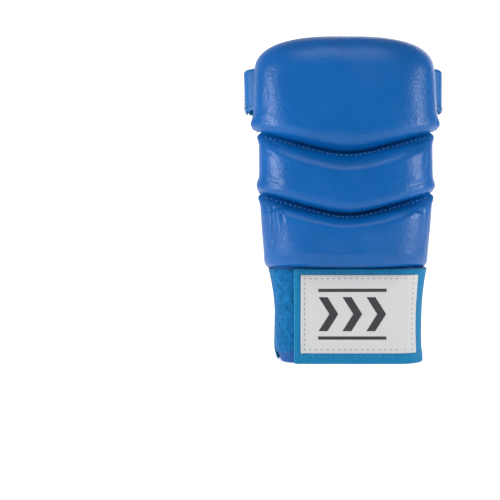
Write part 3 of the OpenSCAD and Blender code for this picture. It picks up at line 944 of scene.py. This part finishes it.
def label_lift(u, z):
    edge = min(u - LABEL_LEFT, LABEL_RIGHT - u, z - LABEL_LOW, LABEL_HIGH - z)
    sunk = 0.28 * math.exp(-(((edge - 2.5) / 1.3) ** 2))
    ripple = 0.1 * math.sin(u * 2 * math.pi / 4.4) + 0.1 * math.sin(z * 2 * math.pi / 4.4)
    near_edge = math.exp(-edge / 2.5)
    return 0.35 + band_lift(u, max(z, 9)) - sunk + ripple * near_edge


label = cuff_strip("woven_label", LABEL_LEFT, LABEL_RIGHT, LABEL_LOW, LABEL_HIGH, LABEL_IN, 0.6,
                   white_label, step=1.1, lift=label_lift)
inset = 2.5
label_places = [
    row_between(LABEL_LEFT + inset, LABEL_RIGHT - inset, LABEL_LOW + inset),
    [(LABEL_RIGHT - inset, z) for z in np.linspace(LABEL_LOW + 6, LABEL_HIGH - 6, 13)],
    row_between(LABEL_RIGHT - inset, LABEL_LEFT + inset, LABEL_HIGH - inset),
    [(LABEL_LEFT + inset, z) for z in np.linspace(LABEL_HIGH - 6, LABEL_LOW + 6, 13)],
]
label_rows = [cuff_row("label_row", p, LABEL_IN + 0.62, dark_thread, 1.6, 0.28, lift=label_lift)
              for p in label_places]
label_border = joined("label_border_stitches", *label_rows)
print("label:", len(label.data.vertices), "points, rows of stitches:", len(label_rows))


# %% Cut a flat shape to the label's curve
def print_shape(name, outline):
    """A flat outline in (u, z) millimetres, laid on the label as a thin layer."""
    bm = bmesh.new()
    bm.faces.new([bm.verts.new((x, 0, z)) for x, z in outline])
    bm.normal_update()
    bmesh.ops.triangulate(bm, faces=bm.faces)
    for _ in range(3):
        bmesh.ops.subdivide_edges(bm, edges=bm.edges[:], cuts=1, use_grid_fill=True)
    bm.verts.index_update()
    flat = [(v.co.x, v.co.z) for v in bm.verts]
    tris = [[v.index for v in f.verts] for f in bm.faces]
    edge = [[v.index for v in e.verts] for e in bm.edges if len(e.link_faces) == 1]
    bm.free()
    count = len(flat)
    tops = [cuff_point(u, LABEL_IN + 0.66 + label_lift(u, z), z) for u, z in flat]
    lows = [cuff_point(u, LABEL_IN + 0.5 + label_lift(u, z), z) for u, z in flat]
    faces = tris + [[count + k for k in reversed(f)] for f in tris]
    faces += [[a, b, count + b, count + a] for a, b in edge]
    return new_piece(name, tops + lows, faces, dark_weave, flat + flat)


# %% Draw the label's design
CHEVRON_W, CHEVRON_H, PITCH = 14.5, 25.0, 17.5
BAR_HALF, BAR_AWAY = 25, 17.5
MID_U, MID_Z = 2.5, (LABEL_LOW + LABEL_HIGH) / 2
design = []
for k in (-1, 0, 1):
    left, half = MID_U + k * PITCH - CHEVRON_W / 2, CHEVRON_H / 2
    design.append([
        (left, MID_Z - half), (left + 6.6, MID_Z - half), (left + CHEVRON_W, MID_Z),
        (left + 6.6, MID_Z + half), (left, MID_Z + half), (left + 7.9, MID_Z)])
for z in (MID_Z - BAR_AWAY, MID_Z + BAR_AWAY):
    design.append([
        (MID_U - BAR_HALF, z - 1.2), (MID_U + BAR_HALF, z - 1.2),
        (MID_U + BAR_HALF, z + 1.2), (MID_U - BAR_HALF, z + 1.2)])
label_design = joined("label_chevrons", *[print_shape("mark", o) for o in design])
print("shapes on the label:", len(design))

# %% Sew the flap's folds, and fix everything on the flap
flap_places = [
    row_between(FLAP_END + 3, HINGE - 6, 6.0, 4.2),
    row_between(FLAP_END + 3, HINGE - 6, 66.8, 4.2),
    [(FLAP_END + 3.4, z) for z in np.linspace(64, 8, 14)],
]
flap_rows = [cuff_row("flap_row", p, LABEL_IN + 0.1, elastic_thread, 2.2, 0.3, lift=band_lift)
             for p in flap_places]
flap_border = joined("flap_hem_thread", *flap_rows)
ON_FLAP = (
    (label, "label_patch", "label_weave"), (label_border, "label_stitches", "thread"),
    (label_design, "label_print", "label_print"), (flap_border, "flap_hem_stitches", "thread"),
)
for piece, node, slot in ON_FLAP:
    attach(piece, "closing_flap")
    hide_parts(node)

# %% Sew the band to the panel on the little-finger side
seam_u = BAND_END - 3.4
double = []
for shift in (0, 4.5):
    double.append(cuff_row("row", [(seam_u - shift, z) for z in np.linspace(66, 4, 17)],
                           LABEL_IN + 0.1, elastic_thread, 2.4, 0.3, lift=band_lift))
band_sewing = joined("band_end_stitches", *double)
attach(band_sewing, "hand_section")
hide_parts("band_stitches")
print("cuff made")

# %% [markdown]
# ## The suede linings
# The palm side is soft suede. The quilting seams hold it down in three channels and the foam pushes
# it out between them, so each lining is a low cushion with a valley along both ends. The surface is
# sampled from the same lean and bow as the pads, and pushed a little towards the hand.

# %% The surface of a lining
RIM_IN = 1.5
LINING_OFF = 0.3
SUEDE_CREASES = [
    ([(-8, 108), (-12, 92), (-17, 76)], 0.9, 1.1), ([(-3, 106), (-7, 90), (-11, 76)], 0.7, 1.0),
    ([(6, 104), (9, 90), (10, 80)], 0.5, 1.3), ([(30, 112), (38, 98)], 0.6, 1.4),
    ([(-44, 116), (-38, 100)], 0.6, 1.4), ([(58, 124), (48, 117)], 0.8, 1.2),
    ([(-58, 124), (-49, 116)], 0.8, 1.2), ([(60, 170), (51, 163)], 0.8, 1.2),
    ([(-60, 170), (-50, 164)], 0.8, 1.2), ([(-56, 178), (-48, 170)], 0.6, 1.0),
]


def lining_surface(shape, u, v, swell, phase):
    """The hand side of a lining."""
    x, z, side, up = pad_plan(shape, u, v, RIM_IN)
    body = np.sqrt(np.clip(1 - side ** 6, 0, 1)) * np.sqrt(np.clip(np.sin(math.pi * up), 0, 1))
    y = sewn_y(x, z) + LINING_OFF + 1.2 + swell * body
    y = y + 0.35 * body * (np.sin(0.11 * x + phase) + np.sin(0.16 * z + 0.05 * x + phase))
    near_seam = sum(np.exp(-((share * PAD_TALL / 6) ** 2)) for share in (up, 1 - up))
    y = y + 0.14 * np.sin(2 * math.pi * x / PUCKER_STEP) * near_seam
    y = y - crease_depth(SUEDE_CREASES, x, z)
    return np.stack([x, y, z], -1)


# %% One lining
def lining_piece(name, shape, material, swell, phase, columns=90, rows=50):
    u, v = np.meshgrid(np.linspace(-1, 1, columns), np.linspace(0, 1, rows))
    palm = lining_surface(shape, u, v, swell, phase)
    x, z = palm[..., 0], palm[..., 2]
    bow_out = (palm[..., 1] - sewn_y(x, z) - 1.5) * 0.9
    inner = np.stack([x, sewn_y(x, z) + LINING_OFF + np.maximum(bow_out, 0), z], -1)
    return closed_sheet(name, palm, inner, material, roundness=0.4)


# %% Where the suede gives way to leather
FACING_FOOT = FINGER_SEAM + 9


def facing_edge(x):
    """The curved line where the suede ends and the leather facing of the fingers starts."""
    return FACING_FOOT - 7.0 * (np.abs(x) / FINGER_HALF) ** 2.2


# %% Make the linings
LINED = dict(PADS, finger=dict(finger, head=lambda x: facing_edge(x) + 3.5))
# How far each lining swells, and where its slow waves start.
LININGS = {"hand": (2.4, 0.4), "knuckle": (2.0, 1.7), "finger": (1.2, 2.6)}
linings = {}
for name, (swell, phase) in LININGS.items():
    linings[name] = lining_piece(name + "_suede_lining", LINED[name], grey_suede, swell, phase)
    CARRY[name](linings[name])
    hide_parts(name + "_lining")
    xs = np.linspace(-1, 1, 60) * PADS[name]["half"]
    tall = float(np.mean(LINED[name]["head"](xs) - LINED[name]["foot"](xs))) - 2 * RIM_IN
print("linings made")


# %% Sew the linings along the quilted seams
def lining_row(name, shape, swell, phase, drop=3.6, step=3.4):
    places = []
    for x in np.arange(-shape["half"] + 7, shape["half"] - 6.9, step):
        target = float(shape["head"](x)) - drop
        u = np.full(300, 2 / math.pi * math.asin(x / (shape["half"] - 2)))
        line = lining_surface(shape, u, np.linspace(0.6, 1, 300), swell, phase)
        k = int(np.argmin(np.abs(line[:, 2] - target)))
        places.append(line[k])
    last = len(places) - 1
    along = [places[min(k + 1, last)] - places[max(k - 1, 0)] for k in range(last + 1)]
    return stitch_row(name, places, along, [(0, 1, 0)] * len(places), seam_thread, 2.2, 0.3)


palm_rows = {
    "hand": lining_row("knuckle_seam_palm_row", hand, *LININGS["hand"]),
    "knuckle": lining_row("finger_seam_palm_row", knuckle, *LININGS["knuckle"]),
}
for name, node in (("hand", "hand_seam_stitches"), ("knuckle", "knuckle_seam_stitches")):
    CARRY[name](palm_rows[name])
    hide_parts(node)

# %% [markdown]
# ## Strips that follow a path across the palm
# Finger elastic, palm strap and their leather tabs all stand up from the palm as curved strips.
# Each is drawn as a path in a slanted plane, the plane across the glove's back at that height, and
# then given its width along the glove. Catmull-Rom curves pass through every given point, so the
# loops can be given as a few points for each finger.

# %% Paths
def smooth_path(points, steps=10):
    p = np.asarray(points, float)
    p = np.vstack([2 * p[0] - p[1], p, 2 * p[-1] - p[-2]])
    out = []
    for a, b, c, d in zip(p, p[1:], p[2:], p[3:]):
        for t in np.arange(steps) / steps:
            out.append(0.5 * (2 * b + (c - a) * t + (2 * a - 5 * b + 4 * c - d) * t * t
                              + (3 * b - a - 3 * c + d) * t ** 3))
    out.append(p[-2])
    return np.array(out)


def even_path(points, step=1.0):
    """The same path with evenly spaced points, and the length up to each of them."""
    points = np.asarray(points, float)
    gone = np.concatenate([[0], np.cumsum(np.linalg.norm(np.diff(points, axis=0), axis=1))])
    marks = np.linspace(0, gone[-1], max(3, int(gone[-1] / step) + 1))
    return np.stack([np.interp(marks, gone, points[:, k]) for k in range(2)], 1), marks


def path_sides(path):
    """The unit direction to the left of a path at each of its points."""
    run = np.gradient(path, axis=0)
    run /= np.linalg.norm(run, axis=1)[:, None]
    return np.stack([-run[:, 1], run[:, 0]], 1)


# %% From the slanted plane to the real place
def leaning(points, z):
    """From a path's plane (x, y, height) at glove height z to the real place."""
    rise = 2 * CURL * height_share(z) / (GLOVE_TOP - PAD_FOOT)
    long = math.hypot(1, rise)
    cos, sin = 1 / long, rise / long
    x, y, h = points[..., 0], points[..., 1], points[..., 2]
    return np.stack([x, lean(z) + y * cos + h * sin, z - y * sin + h * cos], -1)


# %% Ribbons and their stitches
def ribbon(name, path, z, width, thick, material, lift, rows=15):
    """A strip of that width round a path. lift(length, share) moves it sideways a little."""
    path, gone = even_path(path)
    side = path_sides(path)
    across = np.linspace(-0.5, 0.5, rows)
    front = np.zeros((rows, len(path), 3))
    rear, uv = front.copy(), np.zeros((rows, len(path), 2))
    for j, share in enumerate(across):
        middle = path + side * lift(gone, share)[:, None]
        height = np.full((len(path), 1), share * width)
        front[j] = np.hstack([middle + side * thick / 2, height])
        rear[j] = np.hstack([middle - side * thick / 2, height])
        uv[j] = np.stack([gone, np.full(len(path), share * width)], 1)
    return closed_sheet(name, leaning(front, z), leaning(rear, z), material, uv), gone[-1]


def ribbon_row(name, path, z, places, offset, material, length=2.2, radius=0.32, upright=False):
    """Stitches on a ribbon at (length along, height) places."""
    path, gone = even_path(path)
    side = path_sides(path)
    run = np.stack([side[:, 1], -side[:, 0]], 1)
    centres, along, outward = [], [], []
    for mark, height in places:
        k = int(np.argmin(np.abs(gone - mark)))
        at = np.append(path[k] + side[k] * offset, height)
        step = np.array([0, 0, 1.0]) if upright else np.append(run[k], 0)
        centres.append(leaning(at, z))
        along.append(leaning(at + step, z) - centres[-1])
        outward.append((leaning(at + np.append(side[k], 0), z) - centres[-1]) * np.sign(offset))
    return stitch_row(name, centres, along, outward, material, length, radius)


# %% The height of the palm side
def palm_floor(x, z, thick):
    return wrap(z) * bow(min(1.0, abs(x) / FINGER_HALF)) + 0.3 + thick


# %% [markdown]
# ## The finger loops
# One length of elastic is sewn down between the fingers and stands up over each of them. Sewn
# elastic does not make round arches: it leaves each valley steeply, swells to its widest half way
# up and closes over in a soft crown, the shape of a Greek omega. A leather tab at each side
# ties the strip's ends to the rim of the pad.

# %% Where the loops and tabs stand
LOOP_Z = FINGER_SEAM + 35.5
LOOP_RISE = 27.0
LOOP_W = 29.5
FINGER_PITCH = 32
VALLEYS = [share * FINGER_PITCH for share in (-1.16, -0.16, 0.86)]
TAB_LEATHER = 1.5
TAB_X = FINGER_HALF + 6.6


def valley_y(x):
    return palm_floor(x, LOOP_Z, 1.5) + 0.3 + ELASTIC / 2


# %% The outline of one loop
def loop_points(a, b):
    """From valley a up over one finger, stopping before valley b."""
    half, low = (b - a) / 2, (valley_y(a) + valley_y(b)) / 2
    shares = ((0.3, 0.02), (0.5, 0.16), (0.5, 0.46), (0.36, 0.78))
    rising = [(a + s * half, low + h * LOOP_RISE) for s, h in shares]
    falling = [(b - s * half, low + h * LOOP_RISE) for s, h in reversed(shares)]
    crown = [((a + b) / 2, low + 0.97 * LOOP_RISE)]
    valley = [(a - 0.04 * half, valley_y(a)), (a + 0.04 * half, valley_y(a))]
    return valley + rising + crown + falling


# %% The outline of a tab and the loop beside it
tab_foot = palm_floor(FINGER_HALF, LOOP_Z, TAB_LEATHER) + 0.3 + TAB_LEATHER
tab_core = [
    (FINGER_HALF - 7, palm_floor(FINGER_HALF - 7, LOOP_Z, TAB_LEATHER) + 0.3 + TAB_LEATHER / 2),
    (FINGER_HALF - 1, tab_foot),
    (FINGER_HALF + 4.2, tab_foot + 3.2),
    (TAB_X, tab_foot + 7.8),
    (TAB_X - 0.5, tab_foot + 13),
]


def side_loop(valley, sign):
    """The outer finger's loop: up inside the tab, over, and down to the nearest valley."""
    core = smooth_path(tab_core, 6)
    inside = core[8:] + path_sides(core)[8:] * 1.95
    low, start = valley_y(valley), inside[-1]
    span = start[0] - valley
    outer = [tuple(p) for p in inside[::4]] + [(start[0] - 2.5, start[1] + 4.5)]
    shares = ((0.72, 1.02), (0.45, 0.95), (0.27, 0.6), (0.2, 0.24), (0.12, 0.03))
    outer += [(valley + s * span, low + h * LOOP_RISE) for s, h in shares]
    return [(sign * x, y) for x, y in outer]


# %% Make the finger elastic
route = side_loop(-VALLEYS[0], -1)
route += loop_points(VALLEYS[0], VALLEYS[1]) + loop_points(VALLEYS[1], VALLEYS[2])
route += [(VALLEYS[2] - 0.6, valley_y(VALLEYS[2])), (VALLEYS[2] + 0.6, valley_y(VALLEYS[2]))]
route += side_loop(VALLEYS[2], 1)[::-1]
LOOP_ROUTE = smooth_path(route)
loops, loops_long = ribbon(
    "finger_loop_band", LOOP_ROUTE, LOOP_Z, LOOP_W, ELASTIC, cyan_elastic,
    lift=lambda gone, share: (
        0.25 * np.sin(gone * 0.09) * share + 0.12 * np.sin(gone * 0.5) * share ** 2),
)
print("finger elastic:", round(loops_long), "mm long")

# %% Make the tabs and their stitches
tab_route = smooth_path(tab_core)
tabs, tab_rows = [], []
edges = (-LOOP_W / 2 + 1.6, LOOP_W / 2 - 1.6)
for side_name, sign in (("index", 1), ("little", -1)):
    turned = tab_route * np.array([sign, 1])
    tab, tab_long = ribbon(
        side_name + "_loop_tab_leather", turned, LOOP_Z, LOOP_W + 2, TAB_LEATHER, tab_leather,
        lift=lambda gone, share: -sign * 1.3 * share * gone / 23,
    )
    places = [(m, h) for h in edges for m in np.arange(9.5, tab_long - 1.6, 2.9)]
    rows = [ribbon_row("row", turned, LOOP_Z, places, -sign * 0.85, tab_thread)]
    places = [(tab_long - 2.2, h) for h in np.linspace(edges[0] + 2.5, edges[1] - 2.5, 9)]
    rows.append(ribbon_row("row", turned, LOOP_Z, places, -sign * 0.85, tab_thread, upright=True))
    tabs.append(tab)
    tab_rows += rows
    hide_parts("loop_tab_" + side_name)
tab_sewing = joined("loop_tab_sewing", *tab_rows)
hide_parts("loop_tab_stitches")

# %% Bar tacks hold each valley
tacks = []
loop_line, loop_gone = even_path(LOOP_ROUTE)
for valley in VALLEYS:
    near = np.hypot(loop_line[:, 0] - valley, loop_line[:, 1] - valley_y(valley))
    mark = loop_gone[int(np.argmin(near))]
    for h in np.arange(-12.5, 13, 2.4):
        tacks.append((mark, h))
bar_tacks = ribbon_row("bar_tack_rows", LOOP_ROUTE, LOOP_Z, tacks, ELASTIC / 2 + 0.1, blue_thread,
                       length=3.4, radius=0.4)
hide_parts("loop_bar_tacks")
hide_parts("finger_loop_elastic")
for piece in [loops, tab_sewing, bar_tacks] + tabs:
    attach(piece, "finger_section")
print("finger loops made")

# %% [markdown]
# ## The facing and its piping
# Where the finger loops are sewn on, suede would stretch, so the lining there is covered with
# smooth leather. A thin pale piping, a cord in a strip of skin, finishes its curved lower edge.

# %% Face the finger section
def facing_point(x, z):
    """Where the facing's hand side lies."""
    rest = 0.25 * np.sin(0.09 * x + 0.7) + 0.2 * np.sin(0.21 * z + 0.06 * x)
    return sewn_y(x, z) + 2.6 + rest


u, v = np.meshgrid(np.linspace(-1, 1, 90), np.linspace(0, 1, 40))
side, up = np.sin(u * math.pi / 2), v
facing_x = side * (FINGER_HALF - RIM_IN)
foot, head = facing_edge(facing_x), finger_top(side * FINGER_HALF) - RIM_IN
facing_z = foot + np.maximum(head - foot, 0.5) * up
palm_face = np.stack([facing_x, facing_point(facing_x, facing_z), facing_z], -1)
back_face = palm_face - np.array([0, 1.1, 0])
facing = closed_sheet("finger_leather_facing", palm_face, back_face, facing_leather)
on_finger(facing)
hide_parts("finger_facing")


# %% A round cord
def tube(name, line, radius, material, sides=10):
    """A round cord with rounded ends along a line of points."""
    line = np.asarray(line, float)
    run = np.gradient(line, axis=0)
    run /= np.linalg.norm(run, axis=1)[:, None]
    points, faces = [], []
    last = len(line) - 1
    for k, (centre, heading) in enumerate(zip(line, run)):
        across = np.cross(heading, (0, 1, 0))
        across /= np.linalg.norm(across)
        up = np.cross(across, heading)
        small = 0.45 if k in (0, last) else 1.0
        for s in range(sides):
            turn = 2 * math.pi * s / sides
            points.append(centre + small * radius * (across * math.cos(turn) + up * math.sin(turn)))
    for k in range(last):
        for s in range(sides):
            t = (s + 1) % sides
            a, b = k * sides, (k + 1) * sides
            faces.append([a + s, a + t, b + t, b + s])
    faces.append(list(range(sides))[::-1])
    faces.append([last * sides + s for s in range(sides)])
    return new_piece(name, points, faces, material)


# %% Make the piping, and sew the facing's edge
xs = np.linspace(-FINGER_HALF + 2.5, FINGER_HALF - 2.5, 90)
edge_z = facing_edge(xs) - 0.5
cord_line = np.stack([xs, facing_point(xs, edge_z) - 0.1, edge_z], 1)
piping = tube("facing_piping_cord", cord_line, 0.85, pale_edge)
on_finger(piping)
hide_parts("finger_piping")
row_x = xs[3:-3:2]
row_z = facing_edge(row_x) + 2.0
row = np.stack([row_x, facing_point(row_x, row_z) + 0.1, row_z], 1)
facing_row = stitch_row("facing_edge_row", row, np.gradient(row, axis=0), [(0, 1, 0)] * len(row),
                        tab_thread, 2.1, 0.3)
on_finger(facing_row)
print("facing made")

# %% [markdown]
# ## The palm strap
# A wide elastic crosses the palm and holds the glove to the hand. Leather tabs carry it: each comes
# off the rim of the knuckle pad, turns round the side of the hand and laps over the strap's end,
# where two rows of stitches hold it. The strap is pulled flat between the tabs and bows only a
# little.

# %% Make the palm strap
PALM_Z = (FINGER_SEAM + KNUCKLE_SEAM) / 2 - 5
STRAP_RISE, STRAP_SAG, STRAP_W = 30.0, 4.0, 32.0
STRAP_END = KNUCKLE_HALF - 16


def strap_y(x):
    return STRAP_RISE - STRAP_SAG * (x / STRAP_END) ** 2


strap_line = [(x, strap_y(x)) for x in np.linspace(-STRAP_END - 1, STRAP_END + 1, 40)]
strap, strap_long = ribbon(
    "palm_strap_band", strap_line, PALM_Z, STRAP_W, ELASTIC, cyan_elastic,
    lift=lambda gone, share: 0.8 * share ** 2 + 0.15 * np.sin(gone * 0.16) * share,
)
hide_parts("palm_strap")

# %% Make the palm strap's tabs
foot_y = palm_floor(KNUCKLE_HALF - 2, PALM_Z, 1.3) + 1.4 + 0.75
lap = 0.35 + (ELASTIC + TAB_LEATHER) / 2
palm_core = [
    (KNUCKLE_HALF - 9, palm_floor(KNUCKLE_HALF - 9, PALM_Z, 1.3) + 2.15),
    (KNUCKLE_HALF - 4.2, foot_y - 0.2), (KNUCKLE_HALF - 1.2, foot_y + 3),
    (KNUCKLE_HALF - 1.4, (foot_y + strap_y(STRAP_END)) / 2 + 2),
    (KNUCKLE_HALF - 6, strap_y(STRAP_END) + 0.2),
    (STRAP_END + 3, strap_y(STRAP_END + 3) + lap - 0.3),
    (STRAP_END - 5, strap_y(STRAP_END - 5) + lap),
    (STRAP_END - 13, strap_y(STRAP_END - 13) + lap - 0.1),
]
palm_route = smooth_path(palm_core)
palm_rows_made = []
edges = (-STRAP_W / 2 + 1.4, STRAP_W / 2 - 1.4)
for side_name, sign in (("thumb_side", 1), ("little_side", -1)):
    turned = palm_route * np.array([sign, 1])
    tab, tab_long = ribbon(
        "palm_tab_leather_" + side_name, turned, PALM_Z, STRAP_W + 2, TAB_LEATHER, tab_leather,
        lift=lambda gone, share: 0.5 * np.sin(gone * 0.12) * share ** 2,
    )
    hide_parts("palm_tab_" + side_name)
    on_knuckle(tab)
    for back in (2.4, 9.6):
        places = [(tab_long - back, h) for h in np.linspace(edges[0] + 1.5, edges[1] - 1.5, 9)]
        palm_rows_made.append(
            ribbon_row("row", turned, PALM_Z, places, sign * 0.8, tab_thread, upright=True))
    places = [(m, h) for h in edges for m in np.arange(6, tab_long - 3, 3.1)]
    palm_rows_made.append(ribbon_row("row", turned, PALM_Z, places, sign * 0.8, tab_thread))
palm_sewing = joined("palm_tab_sewing", *palm_rows_made)
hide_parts("palm_tab_stitches")
on_knuckle(strap)
on_knuckle(palm_sewing)
print("palm strap:", round(strap_long), "mm long")

# %% [markdown]
# ## Floor, light and camera
# A pale floor and a pale wall close in a bright room with no corners in view. Two narrow upright
# soft boxes stand to the left and right and a little in front. They are what gives the leather its
# long soft highlights near the sides, and they leave the middle in its own colour. A broad light
# above fills the tops of the pads.
#
# The camera has a long lens at a normal distance, looking nearly level, so the glove keeps its
# true proportions.

# %% Floor and wall
ROOM_GLOW, WORLD_LIGHT = 0.53, 0.22


def room_finish():
    room = Finish("pale_room", 0.95, specular=0.1)
    where = room.place()
    stops = [(0.3, ink(244, 244, 244)), (0.7, ink(250, 250, 250))]
    room.colour(room.ramp(room.noise(where, 3), stops))
    room.set("Emission Color", (1, 1, 1, 1))
    room.set("Emission Strength", ROOM_GLOW)
    return room.material


def room_side(name, size, place, turn):
    bpy.ops.mesh.primitive_plane_add(size=size, location=place, rotation=turn)
    plane = bpy.context.object
    plane.name = name
    plane.data.materials.append(pale_room)


pale_room = room_finish()
room_side("floor", 8, (0, 0, 0), (0, 0, 0))
room_side("wall", 10, (0, 3.2, 0), (math.pi / 2, 0, 0))


# %% Lights
def aim(thing, target):
    thing.rotation_euler = (Vector(target) - thing.location).to_track_quat("-Z", "Y").to_euler()


def soft_box(name, place, target, size, power):
    lamp = bpy.data.lights.new(name, "AREA")
    lamp.shape = "RECTANGLE"
    lamp.size, lamp.size_y = size
    lamp.energy = power
    box = bpy.data.objects.new(name, lamp)
    box.location = place
    bpy.context.scene.collection.objects.link(box)
    aim(box, target)


soft_box("left_box", (-1.0, -0.42, 0.36), (0, 0, 0.14), (0.3, 0.6), 8.2)
soft_box("right_box", (1.0, -0.4, 0.34), (0, 0, 0.14), (0.3, 0.6), 6.6)
soft_box("top_box", (0, -0.62, 1.35), (0, 0, 0.1), (1.1, 0.6), 5.6)
soft_box("behind_box", (0.5, 1.1, 0.7), (0, 0, 0.12), (0.9, 0.9), 2.6)
world = bpy.data.worlds.new("room_light")
bpy.context.scene.world = world
world.use_nodes = True
background = world.node_tree.nodes["Background"]
background.inputs["Color"].default_value = (1, 1, 1, 1)
background.inputs["Strength"].default_value = WORLD_LIGHT
bpy.context.scene.view_settings.view_transform = "Standard"

# %% Camera
CAMERA_X = -0.0712    # left of the glove, which then stands in the right half of the view
lens = bpy.data.cameras.new("camera")
lens.lens = 85
camera = bpy.data.objects.new("camera", lens)
camera.location = (CAMERA_X, -0.889, 0.112)
aim(camera, (CAMERA_X, 0, 0.0829))
bpy.context.scene.collection.objects.link(camera)
bpy.context.scene.camera = camera
